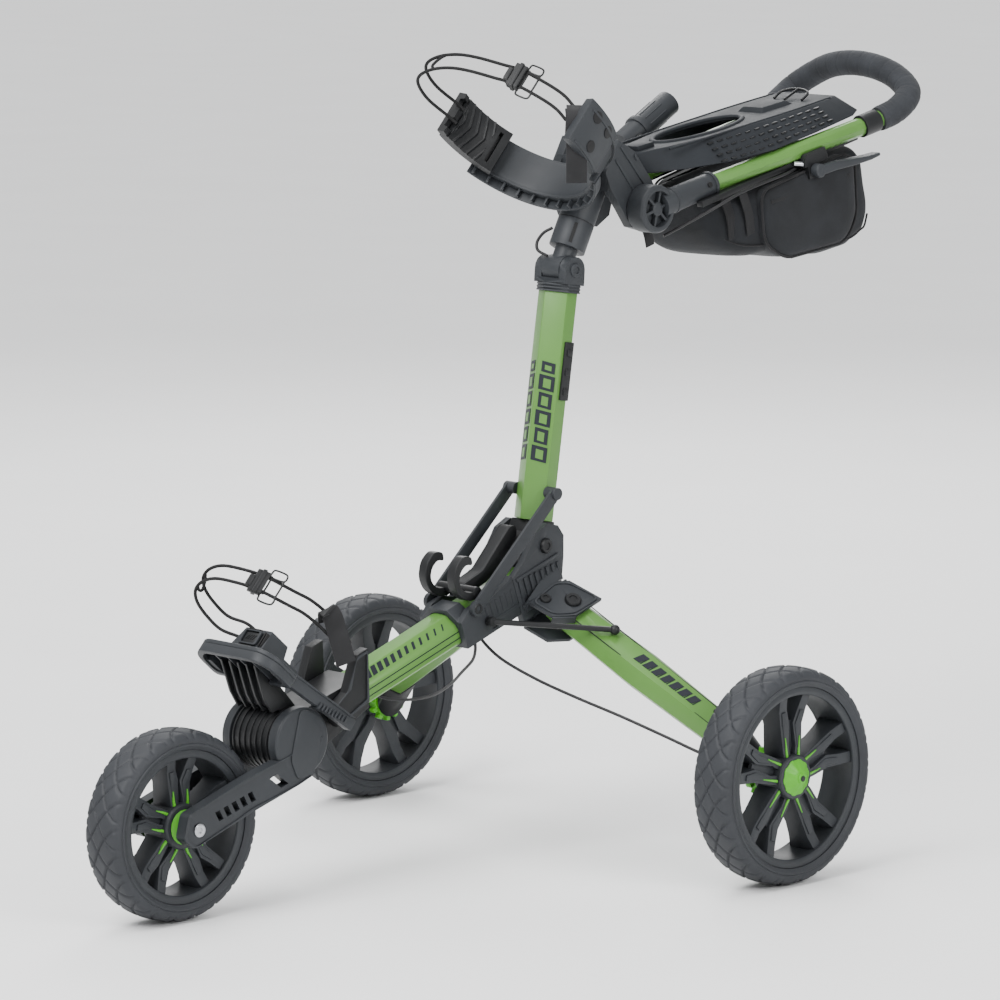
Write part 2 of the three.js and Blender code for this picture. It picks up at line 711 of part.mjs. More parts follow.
// ---- handle, console, bag, brake lever --------------------------------------------------------
const TUBE_START = 100;
const HANDLE_HALF = [
  onHandle(61, TUBE_START, 0), onHandle(80, 270, 0), onHandle(89, 360, 1), v3(95, 452, 818),
  v3(90, 474, 834), v3(66, 482, 850), v3(36, 481, 861), v3(0, 480, 865),
];

function handlePath() {
  const mirrored = HANDLE_HALF.slice(0, -1).map((p) => v3(-p.x, p.y, p.z)).reverse();
  return [...HANDLE_HALF, ...mirrored];
}

// The part of the handle path under the foam, from end to end.
function gripPath() {
  const curve = new THREE.CatmullRomCurve3(handlePath(), false, "centripetal");
  const points = curve.getSpacedPoints(200);
  return points.filter((_, i) => i >= 62 && i <= 138 && i % 4 === 2);
}

// The space that a piece round the handle tube leaves free for it.
const tubeRoom = () => cord(handlePath(), HANDLE_TUBE_R + 0.6, 40, 10);

function handle() {
  put("handle_tube", cord(handlePath(), HANDLE_TUBE_R, 40, 10), GREEN_METAL);
  put("handle_grip", cut(cord(gripPath(), GRIP_R, 20, 10), tubeRoom()), FOAM);

  for (const left of [true, false]) {
    const out = side(left);
    const x0 = Math.min(out * KNUCKLE_IN, out * 70);
    const x1 = Math.max(out * KNUCKLE_IN, out * 70);
    const disc = crossBar(KNUCKLE, x0, x1, KNUCKLE_R, 28);
    const sleeve = bar(onHandle(out * 60, 10, 0), onHandle(out * 61, TUBE_START - 2, 0), 14.5, 16);
    put("knuckle" + suffix(left), join(disc, sleeve), GREY_PLASTIC);
  }
}

const CONSOLE = [
  [12, 26], [34, 38], [52, 70], [70, 125], [79, 190], [81, 260], [78, 330], [66, 352],
];

function consoleShell() {
  const shell = (inset, drop) => {
    const points = [];
    for (const [x, s] of CONSOLE) {
      for (const out of [1, -1]) {
        const lift = Math.max(13, 30 - (s - 26) * 0.12);
        const nudge = s < 100 ? inset : -inset;
        const across = out * (x - inset);
        const top = 54 - (s - 26) * 0.066 - drop;
        points.push(onHandle(across, s + nudge, lift - (inset ? 4 : 0)));
        points.push(onHandle(across * 0.62, 30 + (s - 30) * 0.97 + nudge, top));
      }
    }
    return hull(points);
  };
  const made = cut(shell(0, 0), shell(5, 4.5));
  const oval = new THREE.Shape();
  oval.absellipse(0, 0, 29, 66, 0, 2 * Math.PI);
  const hole = new THREE.ExtrudeGeometry(oval, { depth: 120, bevelEnabled: false, curveSegments: 28 });
  const turn = new THREE.Matrix4().makeBasis(v3(1, 0, 0), handleBack.clone(), handleUp.clone());
  turn.premultiply(new THREE.Matrix4().makeTranslation(...onHandle(0, 150, -30).toArray()));
  put("console", cut(made, solid(hole.applyMatrix4(turn))), GREY_PLASTIC);
}

function accessoryBag() {
  const outline = [
    [44, -18, 58], [52, -36, 60], [90, -70, 72], [150, -100, 84], [200, -122, 86], [250, -136, 86],
    [300, -139, 86], [328, -122, 84], [334, -18, 82], [120, -18, 80],
  ];
  const points = [];
  for (const [s, h, x] of outline) {
    points.push(onHandle(x, s, h), onHandle(-x, s, h));
  }
  put("accessory_bag", hull(points), FABRIC);
}

const LEVER_PIVOT = onHandle(0, 236, -24);

function brakeLever() {
  const clamp = hull([
    ...corners(onHandle, [70, 92], [222, 262], [-17, -11.8]),
    ...corners(onHandle, [88.4, 92.8], [226, 258], [-17, -2]),
  ]);
  const ears = hull(corners(onHandle, [86, 92.8], [226, 246], [-32, -12]));
  put("brake_lever_clamp", cut(join(clamp, ears), tubeRoom()), BLACK_PLASTIC);
  const paddle = join(
    crossBar(LEVER_PIVOT, 93.4, 104, 8, 16),
    hull([
      ...corners(onHandle, [93.4, 104], [236, 250], [-30, -20]),
      ...corners(onHandle, [94, 112], [322, 332], [-34, -29]),
      ...corners(onHandle, [94, 111], [290, 300], [-34, -28]),
    ]),
  );
  put("brake_lever", paddle, BLACK_PLASTIC);
}

const UMBRELLA_LOW = v3(-96, 182, 778);
const UMBRELLA_TOP = v3(-96, 262, 824);

function umbrellaHolder() {
  const tube = bar(UMBRELLA_LOW, UMBRELLA_TOP, 15, 20);
  const along = UMBRELLA_TOP.clone().sub(UMBRELLA_LOW).normalize();
  const at = (t) => UMBRELLA_LOW.clone().addScaledVector(along, t);
  const collar = bar(at(30), at(38), 17.5, 20);
  const bore = bar(at(12), at(120), 12, 20);
  put("umbrella_holder", cut(join(tube, collar), bore), GREY_PLASTIC);
}

// ---- cords and cables -------------------------------------------------------------------------
const UPPER_CORD = [
  v3(-92, -86, 840), v3(-99, -111, 860), v3(-94, -131, 878), v3(-84, -138, 889), v3(-70, -132, 896),
  v3(-52, -122, 898), v3(-34, -110, 895), v3(-8, -97, 888), v3(14, -88, 882), v3(44, -78, 868),
  v3(62, -70, 856), v3(76, -68, 844),
];
const LOWER_CORD = [
  v3(-12, -475, 303), v3(-38, -480, 309), v3(-50, -489, 323), v3(-56, -497, 338), v3(-56, -500, 351),
  v3(-48, -499, 361), v3(-36, -493, 366), v3(-20, -485, 365), v3(6, -468, 357), v3(24, -438, 338),
  v3(32, -421, 327), v3(38, -402, 310), v3(40, -384, 292), v3(38, -372, 276),
];
const CABLE_RIGHT = [
  v3(24, -170, 249), v3(22, -168, 240), v3(8, -159, 226), v3(-20, -148, 208), v3(-60, -128, 186),
  v3(-110, -108, 164), v3(-170, -88, 148), v3(-230, -66, 138), v3(-294, -46, 134),
];
const CABLE_LEFT = [
  v3(10, -150, 257), v3(14, -148, 247), v3(34, -138, 228), v3(70, -120, 208), v3(110, -98, 190),
  v3(160, -76, 172), v3(215, -62, 155), v3(262, -52, 141), v3(294, -45, 135),
];
const CABLE_HANDLE = [
  v3(82, 287, 755), v3(88, 262, 750), v3(92, 222, 743), v3(90, 184, 733), v3(84, 152, 719),
  v3(70, 120, 702), v3(54, 98, 688),
];
const NECK_CABLE = [
  v3(-15, -10.5, 700), v3(-23, -17, 694), v3(-28, -22, 684), v3(-24, -25, 675),
  v3(-10, -24, 669.5),
];

// The sliding buckle that shortens a cord: a small block with the cord through it.
function buckle(route, centre) {
  const body = block(-9, 9, -8, 8, -11, 7).translate(centre.toArray());
  return cut(body, cord(route, 2.5 + GAP, 28));
}

function cords() {
  put("upper_bungee_cord", cord(UPPER_CORD, 2.5, 28), ELASTIC);
  put("lower_bungee_cord", cord(LOWER_CORD, 2.5, 28), ELASTIC);
  put("neck_cable", cord(NECK_CABLE, 2, 8), ELASTIC);
  put("rear_brake_cable_left", cord(CABLE_LEFT, 2, 24), ELASTIC);
  put("rear_brake_cable_right", cord(CABLE_RIGHT, 2, 24), ELASTIC);
  put("handle_brake_cable", cord(CABLE_HANDLE, 2, 14), ELASTIC);
  put("upper_cord_buckle", buckle(UPPER_CORD, v3(34, -80, 873)), BLACK_PLASTIC);
  put("lower_cord_buckle", buckle(LOWER_CORD, v3(5, -468, 357)), BLACK_PLASTIC);
}

frontWheel();
rearWheels();
lowerTube();
frontYoke();
bagFoot();
strapHousing();
hubHousing();
slideCollar();
sideLinks();
legRods();
foldLatch();
rearLegs();
frontFork();
upright();
neck();
headBracket();
upperCradle();
handle();
consoleShell();
accessoryBag();
brakeLever();
umbrellaHolder();
cords();

// The origin is the middle of the footprint, on the floor.
const bounds = new THREE.Box3().setFromObject(cart);
const middle = bounds.getCenter(new THREE.Vector3());
cart.position.set(-middle.x, -middle.y, -bounds.min.z);

export default cart;
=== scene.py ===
"""Looks of the folding golf push cart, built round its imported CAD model.

Shapes are written in millimetres in the cart's design frame: the origin is on the floor midway
between the rear wheels, the cart faces -Y and its left is +X. piece() moves them to metres in
the frame of the CAD model.
"""
import json
import math

import bmesh
import bpy
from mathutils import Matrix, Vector, noise
from mathutils.geometry import tessellate_polygon

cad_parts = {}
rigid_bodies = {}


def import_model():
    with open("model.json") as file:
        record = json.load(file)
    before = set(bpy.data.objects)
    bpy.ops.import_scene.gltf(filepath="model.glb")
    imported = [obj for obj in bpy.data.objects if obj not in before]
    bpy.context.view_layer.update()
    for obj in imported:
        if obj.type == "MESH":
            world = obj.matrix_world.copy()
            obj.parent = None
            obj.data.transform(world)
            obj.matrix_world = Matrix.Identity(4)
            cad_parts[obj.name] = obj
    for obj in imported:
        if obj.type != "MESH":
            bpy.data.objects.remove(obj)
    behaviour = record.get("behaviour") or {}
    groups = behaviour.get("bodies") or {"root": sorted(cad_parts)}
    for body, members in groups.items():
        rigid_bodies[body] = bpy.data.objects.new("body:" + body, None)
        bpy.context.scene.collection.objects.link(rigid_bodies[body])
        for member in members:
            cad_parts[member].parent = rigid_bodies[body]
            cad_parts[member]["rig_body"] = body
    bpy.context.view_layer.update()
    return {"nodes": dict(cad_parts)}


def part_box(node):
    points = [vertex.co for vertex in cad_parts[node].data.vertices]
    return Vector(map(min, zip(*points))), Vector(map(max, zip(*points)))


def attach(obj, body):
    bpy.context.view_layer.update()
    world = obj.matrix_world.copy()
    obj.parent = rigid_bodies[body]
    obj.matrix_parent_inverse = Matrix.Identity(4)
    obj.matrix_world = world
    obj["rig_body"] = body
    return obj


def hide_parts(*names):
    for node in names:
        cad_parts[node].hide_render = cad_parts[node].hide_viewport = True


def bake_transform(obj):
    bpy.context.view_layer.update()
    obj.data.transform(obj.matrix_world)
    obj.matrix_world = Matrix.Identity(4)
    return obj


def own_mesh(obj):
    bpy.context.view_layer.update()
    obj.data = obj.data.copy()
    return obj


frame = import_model()

MM = 0.001
TAU = 2 * math.pi


low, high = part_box("rear_tyre_left")
AXLE_Y = ((low + high) / 2).y  # the design frame's y = 0

# ---- driving dimensions, as in the CAD model -------------------------------------------------
REAR_R = 120.7
FRONT_R = 103.5
TREAD_HALF = 21.2
SPOKES = [TAU * (0.25 + pair / 5) for pair in range(5)]  # the angle of each pair
AXLE = {"left": Vector((333, 0, 120.7)), "right": Vector((-333, 0, 120.7)),
        "front": Vector((0, -595.7, 103.5))}
TUBE_FRONT = Vector((0, -339, 217))
TUBE_TILT = math.radians(19.4)
MAIN_PIVOT = Vector((0, -70, 349))
FORK_PIVOT = Vector((0, -448, 178))
UPRIGHT_BASE = Vector((0, -57.5, 361))
UPRIGHT_LEAN = math.radians(8.65)
UPRIGHT_LENGTH = 272
NECK_PIVOT = Vector((0, -14, 655))
NECK_TOP = Vector((0, 38, 757))
BAG_SLOPE = math.radians(48.6)
CRADLE_FOOT = Vector((0, -6, 752))
CRADLE_R = 102
KNUCKLE = Vector((0, 74, 721))
HANDLE_SLOPE = math.radians(13.5)
LEG_TOP = Vector((59, -56, 273))
LEG_END = Vector((285, -4, 140))
LEG_UP = Vector((0.534, -0.319, 0.782))
BAG_FOOT = Vector((0, -507, 278))
LINK_LOW_S, LINK_LOW_H = 174.5, 17
LINK_TOP = Vector((0, -57, 407))
LATCH_PIVOT = Vector((0, -172, 307))
UMBRELLA_LOW = Vector((-96, 182, 778))
UMBRELLA_TOP = Vector((-96, 262, 824))
CORD_R = 1.9
CABLE_R = 1.8
FLOOR_HALF = 70  # metres, as is the next
FLOOR_Z = -0.0006


def tilted(origin, along, up):
    """A function that places (x, distance along, distance up) in a tilted frame of the cart."""
    return lambda x, s, h: Vector((x, 0, 0)) + origin + along * s + up * h


def in_side_view(angle):
    """The directions along and square to a line that rises at an angle in the side view."""
    along = Vector((0, math.cos(angle), math.sin(angle)))
    return along, Vector((0, -math.sin(angle), math.cos(angle)))


tube_along, tube_up = in_side_view(TUBE_TILT)
handle_along, handle_up = in_side_view(HANDLE_SLOPE)
bag_up, bag_front = in_side_view(BAG_SLOPE)
upright_up = Vector((0, math.sin(UPRIGHT_LEAN), math.cos(UPRIGHT_LEAN)))
upright_front = Vector((0, -math.cos(UPRIGHT_LEAN), math.sin(UPRIGHT_LEAN)))
neck_up = (NECK_TOP - NECK_PIVOT).normalized()

on_tube = tilted(TUBE_FRONT, tube_along, tube_up)
on_handle = tilted(KNUCKLE, handle_along, handle_up)
on_upright = tilted(UPRIGHT_BASE, upright_front, upright_up)
on_cradle = tilted(CRADLE_FOOT, bag_front, bag_up)
on_foot = tilted(BAG_FOOT, -bag_front, bag_up)

leg_dir = (LEG_END - LEG_TOP).normalized()
leg_up = (LEG_UP - leg_dir * LEG_UP.dot(leg_dir)).normalized()
leg_back = leg_up.cross(leg_dir)


def on_leg(out):
    """Places (along, back, up) on the left leg for out = 1, and its mirror image for -1."""
    def place(along, back, up):
        p = LEG_TOP + leg_dir * along + leg_back * back + leg_up * up
        return Vector((p.x * out, p.y, p.z))
    return place


def leg_up_on(out):
    return Vector((leg_up.x * out, leg_up.y, leg_up.z))


SIDES = (("left", 1), ("right", -1))


def span(a, b, out):
    """The stretch of x from a to b on the left for out = 1, or its mirror image."""
    return sorted((a * out, b * out))


def to_frame(p):
    """A design point in the CAD model's frame, in metres."""
    return p * MM + Vector((0, AXLE_Y, 0))


# ---- materials -------------------------------------------------------------------------------
SLOTS = {
    "green_paint": "green_metal", "green_plastic": "green_plastic", "grey_plastic": "grey_plastic",
    "dark_plastic": "black_plastic", "tyre_rubber": "tyre_rubber", "grip_foam": "grip_foam",
    "bag_cloth": "bag_fabric", "bag_piping": "bag_fabric", "webbing": "bag_fabric",
    "elastic_braid": "elastic_cord", "cable_sheath": "cable_black", "plated_steel": "steel",
    "dark_print_and_shade": "black_plastic", "floor_paper": "grey_plastic", "console_plastic": "grey_plastic",
    "painted_shade_black": "black_plastic",
}


class Nodes:
    """A small helper that adds and links shader nodes."""

    def __init__(self, name, colour, roughness, metallic=0.0):
        self.slot = SLOTS[name]
        self.material = bpy.data.materials.new(name + "_finish")
        self.material.use_nodes = True
        self.tree = self.material.node_tree
        self.shader = self.tree.nodes["Principled BSDF"]
        self.shader.inputs["Base Color"].default_value = (*colour, 1)
        self.shader.inputs["Roughness"].default_value = roughness
        self.shader.inputs["Metallic"].default_value = metallic
        self.shader.inputs["Specular IOR Level"].default_value = 0.32
        self.place = self.add("ShaderNodeTexCoord").outputs["Object"]

    def add(self, kind, **values):
        node = self.tree.nodes.new(kind)
        for key, value in values.items():
            if key in node.inputs:
                node.inputs[key].default_value = value
            else:
                setattr(node, key, value)
        return node

    def link(self, out, into):
        self.tree.links.new(out, into)

    def noise(self, scale, detail=3.0):
        node = self.add("ShaderNodeTexNoise", Scale=scale, Detail=detail)
        self.link(self.place, node.inputs["Vector"])
        return node.outputs["Fac"]

    def vary(self, value, colour, spread):
        """The base colour drifts round colour by a share of it, as value says."""
        node = self.add("ShaderNodeValToRGB")
        for element, position, share in zip(node.color_ramp.elements, (0.3, 0.7),
                                            (1 - spread, 1 + spread)):
            element.position = position
            element.color = (*(c * share for c in colour), 1)
        self.link(value, node.inputs["Fac"])
        self.link(node.outputs["Color"], self.shader.inputs["Base Color"])

    def rough(self, value, low, high):
        node = self.add("ShaderNodeMapRange")
        node.inputs["To Min"].default_value = low
        node.inputs["To Max"].default_value = high
        self.link(value, node.inputs["Value"])
        self.link(node.outputs["Result"], self.shader.inputs["Roughness"])

    def bump(self, height, strength, distance):
        node = self.add("ShaderNodeBump", Strength=strength, Distance=distance)
        self.link(height, node.inputs["Height"])
        self.link(node.outputs["Normal"], self.shader.inputs["Normal"])


def grained(name, colour, roughness, grain=1400, bump=0.12, spread=0.1, metallic=0.0):
    """Moulded or painted surface: a fine grain, a slow drift of colour and uneven gloss."""
    n = Nodes(name, colour, roughness, metallic)
    n.vary(n.noise(14), colour, spread)
    n.rough(n.noise(60, 5), roughness - 0.07, roughness + 0.1)
    n.bump(n.noise(grain, 2), bump, 0.0004)
    return n


def fabric_weave(name, colour, pitch=700):
    """Woven cloth: two crossed sets of threads, a slow drift of colour and a low sheen."""
    n = Nodes(name, colour, 0.85)
    weave = n.add("ShaderNodeTexWave", Scale=pitch, Distortion=0.6)
    across = n.add("ShaderNodeTexWave", Scale=pitch, Distortion=0.6, bands_direction="Z")
    for wave in (weave, across):
        n.link(n.place, wave.inputs["Vector"])
    both = n.add("ShaderNodeMath", operation="MAXIMUM")
    n.link(weave.outputs["Fac"], both.inputs[0])
    n.link(across.outputs["Fac"], both.inputs[1])
    n.vary(n.noise(25, 4), colour, 0.35)
    n.bump(both.outputs["Value"], 0.14, 0.0003)
    n.shader.inputs["Sheen Weight"].default_value = 0.05
    n.shader.inputs["Sheen Roughness"].default_value = 0.5
    return n


def foam_grip(name, colour):
    """Closed-cell foam: soft pits and a low sheen."""
    n = Nodes(name, colour, 0.9)
    cells = n.add("ShaderNodeTexVoronoi", Scale=520)
    n.link(n.place, cells.inputs["Vector"])
    n.bump(cells.outputs["Distance"], 0.3, 0.0008)
    n.vary(n.noise(40, 4), colour, 0.3)
    n.shader.inputs["Sheen Weight"].default_value = 0.06
    return n


def braided(name, colour):
    """Braided sheath of an elastic cord."""
    n = Nodes(name, colour, 0.7)
    wave = n.add("ShaderNodeTexWave", Scale=420, Distortion=3.0, bands_direction="DIAGONAL")
    n.link(n.place, wave.inputs["Vector"])
    n.bump(wave.outputs["Fac"], 0.4, 0.0004)
    n.vary(wave.outputs["Fac"], colour, 0.4)
    return n


GREEN_PAINT = grained("green_paint", (0.08, 0.2, 0.036), 0.4, 2600, 0.08, 0.05, 0.1)
GREEN_PAINT.shader.inputs["Coat Weight"].default_value = 0.25
GREEN_PAINT.shader.inputs["Coat Roughness"].default_value = 0.2
GREEN_PLASTIC = grained("green_plastic", (0.07, 0.34, 0.012), 0.38, 1500, 0.06, 0.05)
GREY = grained("grey_plastic", (0.021, 0.0235, 0.027), 0.5, 1300, 0.16, 0.12)
DARK = grained("dark_plastic", (0.0065, 0.007, 0.0078), 0.44, 1300, 0.14, 0.15)
RUBBER = grained("tyre_rubber", (0.023, 0.025, 0.029), 0.6, 700, 0.22, 0.14)
FOAM = foam_grip("grip_foam", (0.022, 0.024, 0.028))
CLOTH = fabric_weave("bag_cloth", (0.0075, 0.0085, 0.0105))
PIPING = fabric_weave("bag_piping", (0.008, 0.008, 0.009), 1300)
WEBBING = fabric_weave("webbing", (0.012, 0.012, 0.013), 900)
CORD = braided("elastic_braid", (0.004, 0.004, 0.0045))
CABLE = grained("cable_sheath", (0.008, 0.008, 0.009), 0.45, 900, 0.1)
STEEL = grained("plated_steel", (0.42, 0.43, 0.45), 0.3, 500, 0.08, 0.1, 1.0)
# Dark print finish, also used as painted shade for the lower tube's side grooves.
PRINT_AND_SHADE = grained("dark_print_and_shade", (0.006, 0.008, 0.014), 0.45, 900, 0.05)
MATTE = grained("console_plastic", (0.018, 0.02, 0.023), 0.62, 1100, 0.2, 0.12)
MATTE.shader.inputs["Specular IOR Level"].default_value = 0.12
# Near-black used as painted shade: grooves, slots, seams and holes are drawn dark on the surface
# instead of being cut deep.
SHADOW = grained("painted_shade_black", (0.004, 0.004, 0.0045), 0.6, 900, 0.1)


# ---- mesh helpers ----------------------------------------------------------------------------
def soften(bm, width, segments=2, angle=28):
    """Bevels the sharp edges of a closed shell, so that they catch the light."""
    bm.normal_update()
    limit = math.radians(angle)
    sharp = [e for e in bm.edges if e.is_manifold and e.calc_face_angle(0) > limit]
    if width and sharp:
        bmesh.ops.bevel(bm, geom=sharp, offset=width, offset_type="OFFSET", segments=segments,
                        profile=0.6, affect="EDGES", clamp_overlap=True)
    return bm


def hull(points, bevel=0.8):
    """The closed convex shell round some points, with its edges bevelled."""
    bm = bmesh.new()
    for p in points:
        bm.verts.new(p)
    bmesh.ops.convex_hull(bm, input=bm.verts)
    inside = [v for v in bm.verts if not v.link_faces]
    bmesh.ops.delete(bm, geom=inside, context="VERTS")
    bmesh.ops.dissolve_limit(bm, angle_limit=math.radians(1), verts=bm.verts, edges=bm.edges)
    bmesh.ops.recalc_face_normals(bm, faces=bm.faces)
    return soften(bm, bevel)


def box(place, x, s, h, bevel=0.8):
    """A block in a tilted frame; x, s and h are its stretches along the frame's directions."""
    return hull([place(a, b, c) for a in x for b in s for c in h], bevel)


def slab(place, x, outline, bevel=0.8):
    """A convex outline of (s, h) points, drawn out along the stretch x."""
    return hull([place(a, s, h) for a in x for s, h in outline], bevel)


def rounded(points, radius, steps=4):
    """An outline with its corners rounded; radius is one number or one per corner."""
    out = []
    count = len(points)
    radii = radius if isinstance(radius, (list, tuple)) else [radius] * count
    for i, point in enumerate(points):
        p = Vector(point)
        before = Vector(points[i - 1]) - p
        after = Vector(points[(i + 1) % count]) - p
        reach = min(radii[i], before.length * 0.45, after.length * 0.45)
        if reach < 0.05:
            out.append(p)
            continue
        a = p + before.normalized() * reach
        b = p + after.normalized() * reach
        for k in range(steps + 1):
            t = k / steps
            out.append(a * (1 - t) ** 2 + p * 2 * t * (1 - t) + b * t ** 2)
    return out


def inset(outline, by, corners=None):
    """The outline drawn in towards its middle, or towards the middle of the corners given."""
    around = [Vector(p) for p in corners or outline]
    centre = sum(around, Vector((0, 0))) / len(around)
    return [p + (centre - p).normalized() * by for p in outline]


def circle(centre, n, m, radius, sides):
    """Points round a centre, in the plane of the directions n and m."""
    return [centre + n * (radius * math.cos(TAU * k / sides))
            + m * (radius * math.sin(TAU * k / sides)) for k in range(sides)]


def prism(loops, place, low, high, bevel=0.8, segments=2):
    """A plate with holes: 2-D loops (the outline first), placed by place(thickness, u, v)."""
    bm = bmesh.new()
    flat = [[Vector((p[0], p[1], 0)) for p in loop] for loop in loops]
    triangles = tessellate_polygon(flat)
    ends = []
    for t in (low, high):
        ends.append([bm.verts.new(place(t, p.x, p.y)) for loop in flat for p in loop])
    for a, b, c in triangles:
        bm.faces.new((ends[0][a], ends[0][b], ends[0][c]))
        bm.faces.new((ends[1][c], ends[1][b], ends[1][a]))
    start = 0
    for loop in flat:
        count = len(loop)
        for i in range(count):
            a, b = start + i, start + (i + 1) % count
            bm.faces.new((ends[0][a], ends[0][b], ends[1][b], ends[1][a]))
        start += count
    bmesh.ops.recalc_face_normals(bm, faces=bm.faces)
    bmesh.ops.dissolve_limit(bm, angle_limit=math.radians(0.5), verts=bm.verts, edges=bm.edges)
    return soften(bm, bevel, segments)


def loft(rings, closed_ends=True, bevel=0.0, loop=False):
    """A skin over rings of equal length; the ends are capped."""
    bm = bmesh.new()
    rows = [[bm.verts.new(p) for p in r] for r in rings]
    pairs = list(zip(rows, rows[1:])) + ([(rows[-1], rows[0])] if loop else [])
    for low, high in pairs:
        for i in range(len(low)):
            j = (i + 1) % len(low)
            bm.faces.new((low[i], low[j], high[j], high[i]))
    if closed_ends and not loop:
        bm.faces.new(list(reversed(rows[0])))
        bm.faces.new(rows[-1])
    bmesh.ops.recalc_face_normals(bm, faces=bm.faces)
    return soften(bm, bevel)


def lathe(profile, centre, segments=64, out=1, bevel=0.0):
    """A closed or axis-to-axis profile of (radius, x) turned about the X axis through centre."""
    bm = bmesh.new()
    rows = []
    for r, x in profile:
        if r < 1e-6:
            rows.append([bm.verts.new(centre + Vector((x * out, 0, 0)))])
        else:
            rows.append([bm.verts.new(polar(centre, x * out, r, TAU * i / segments))
                         for i in range(segments)])
    closed = len(rows[0]) > 1
    pairs = list(zip(rows, rows[1:])) + ([(rows[-1], rows[0])] if closed else [])
    for low, high in pairs:
        for i in range(segments):
            j = (i + 1) % segments
            face = [low[i % len(low)], low[j % len(low)], high[j % len(high)], high[i % len(high)]]
            corners = list(dict.fromkeys(face))
            if len(corners) > 2:
                bm.faces.new(corners)
    bmesh.ops.recalc_face_normals(bm, faces=bm.faces)
    return soften(bm, bevel, 2, 20)


def smooth_path(points, count):
    """Evenly spaced points on a Catmull-Rom curve through the given ones."""
    p = [Vector(q) for q in points]
    p = [p[0] * 2 - p[1]] + p + [p[-1] * 2 - p[-2]]
    dense = []
    for i in range(1, len(p) - 2):
        for k in range(24):
            t = k / 24
            a, b, c, d = p[i - 1], p[i], p[i + 1], p[i + 2]
            dense.append(0.5 * ((2 * b) + (c - a) * t + (2 * a - 5 * b + 4 * c - d) * t * t
                                + (3 * b - a - 3 * c + d) * t ** 3))
    dense.append(p[-2])
    lengths = [0.0]
    for a, b in zip(dense, dense[1:]):
        lengths.append(lengths[-1] + (b - a).length)
    out = []
    j = 0
    for k in range(count):
        target = lengths[-1] * k / (count - 1)
        while j < len(lengths) - 2 and lengths[j + 1] < target:
            j += 1
        span = max(lengths[j + 1] - lengths[j], 1e-9)
        out.append(dense[j].lerp(dense[j + 1], (target - lengths[j]) / span))
    return out


def frames_along(path):
    """The normal and binormal at each point of a path, carried along without twist."""
    tangents = [(path[min(i + 1, len(path) - 1)] - path[max(i - 1, 0)]).normalized()
                for i in range(len(path))]
    normal = tangents[0].orthogonal().normalized()
    out = []
    for t in tangents:
        normal = (normal - t * normal.dot(t)).normalized()
        out.append((normal.copy(), t.cross(normal)))
    return out


def tube(points, radius, count=60, sides=16, ends=0.0):
    """A round tube along a smooth curve."""
    path = smooth_path(points, count)
    rings = [circle(p, n, b, radius, sides) for p, (n, b) in zip(path, frames_along(path))]
    return loft(rings, bevel=ends)


def bar(a, b, radius, sides=24, end_radius=None, bevel=0.6):
    """A straight round bar."""
    a, b = Vector(a), Vector(b)
    n = (b - a).orthogonal().normalized()
    m = (b - a).normalized().cross(n)
    radii = (radius, radius if end_radius is None else end_radius)
    return loft([circle(p, n, m, r, sides) for p, r in zip((a, b), radii)], bevel=bevel)


def strap(points, across, width, thickness=1.4, count=40):
    """A flat strap along a smooth curve; across is the direction of its width."""
    path = smooth_path(points, count)
    rings = []
    for i, p in enumerate(path):
        t = (path[min(i + 1, count - 1)] - path[max(i - 1, 0)]).normalized()
        side = (across - t * across.dot(t)).normalized()
        up = t.cross(side)
        w, h = side * (width / 2), up * (thickness / 2)
        rings.append([p - w - h, p + w - h, p + w + h, p - w + h])
    return loft(rings, bevel=0.4)


def screw(centre, axis, radius, proud):
    """A pan-head screw with a round socket, seen from where axis points."""
    axis = axis.normalized()
    n = axis.orthogonal().normalized()
    m = axis.cross(n)
    profile = ((radius, -1), (radius, proud * 0.5), (radius * 0.86, proud),
               (radius * 0.5, proud), (radius * 0.45, proud - 1.2))
    return loft([circle(centre + axis * lift, n, m, r, 24) for r, lift in profile])


def taken(parts):
    """Several shells in one mesh."""
    whole = bmesh.new()
    for part in parts:
        mesh = bpy.data.meshes.new("part")
        part.to_mesh(mesh)
        whole.from_mesh(mesh)
        part.free()
        bpy.data.meshes.remove(mesh)
    return whole


def add_object(name, data):
    made = bpy.data.objects.new(name, data)
    bpy.context.scene.collection.objects.link(made)
    return made


def piece(name, parts, material, body, replaces=None, smooth=40):
    """Makes the object: parts are shells in millimetres in the design frame."""
    bm = taken(parts if isinstance(parts, list) else [parts])
    for v in bm.verts:
        v.co = to_frame(v.co)
    bm.normal_update()
    limit = math.radians(smooth)
    for e in bm.edges:
        e.smooth = e.calc_face_angle(0) < limit
    for f in bm.faces:
        f.smooth = True
    mesh = bpy.data.meshes.new(name)
    bm.to_mesh(mesh)
    bm.free()
    made = add_object(name, mesh)
    mesh.materials.append(material.material)
    if replaces:
        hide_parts(replaces)
    if body:
        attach(made, body)
    return made


def refined(node, material, bevel=0.8, segments=2, smooth=40, parts=()):
    """A piece with the CAD node's own shape, its flat facets joined and its sharp edges rounded."""
    source = frame["nodes"][node]
    bm = bmesh.new()
    bm.from_mesh(source.data)
    for v in bm.verts:
        v.co = (v.co - Vector((0, AXLE_Y, 0))) / MM
    bmesh.ops.remove_doubles(bm, verts=bm.verts, dist=0.002)
    bmesh.ops.dissolve_limit(bm, angle_limit=math.radians(0.6), verts=bm.verts, edges=bm.edges)
    soften(bm, bevel, segments, 30)
    return piece(node + "_shape", [bm, *parts], material, source["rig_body"], node, smooth)


# ---- camera, light and floor -----------------------------------------------------------------
def make_camera():
    data = bpy.data.cameras.new("camera")
    data.lens = 183.73
    data.sensor_width = 36
    made = add_object("camera", data)
    place = to_frame(Vector((4053.07, -4057.80, 1244.75)))
    aim = to_frame(Vector((-54.0, -55.4, 390.0)))
    made.location = place
    made.rotation_euler = (aim - place).to_track_quat("-Z", "Y").to_euler()
    bpy.context.scene.camera = made


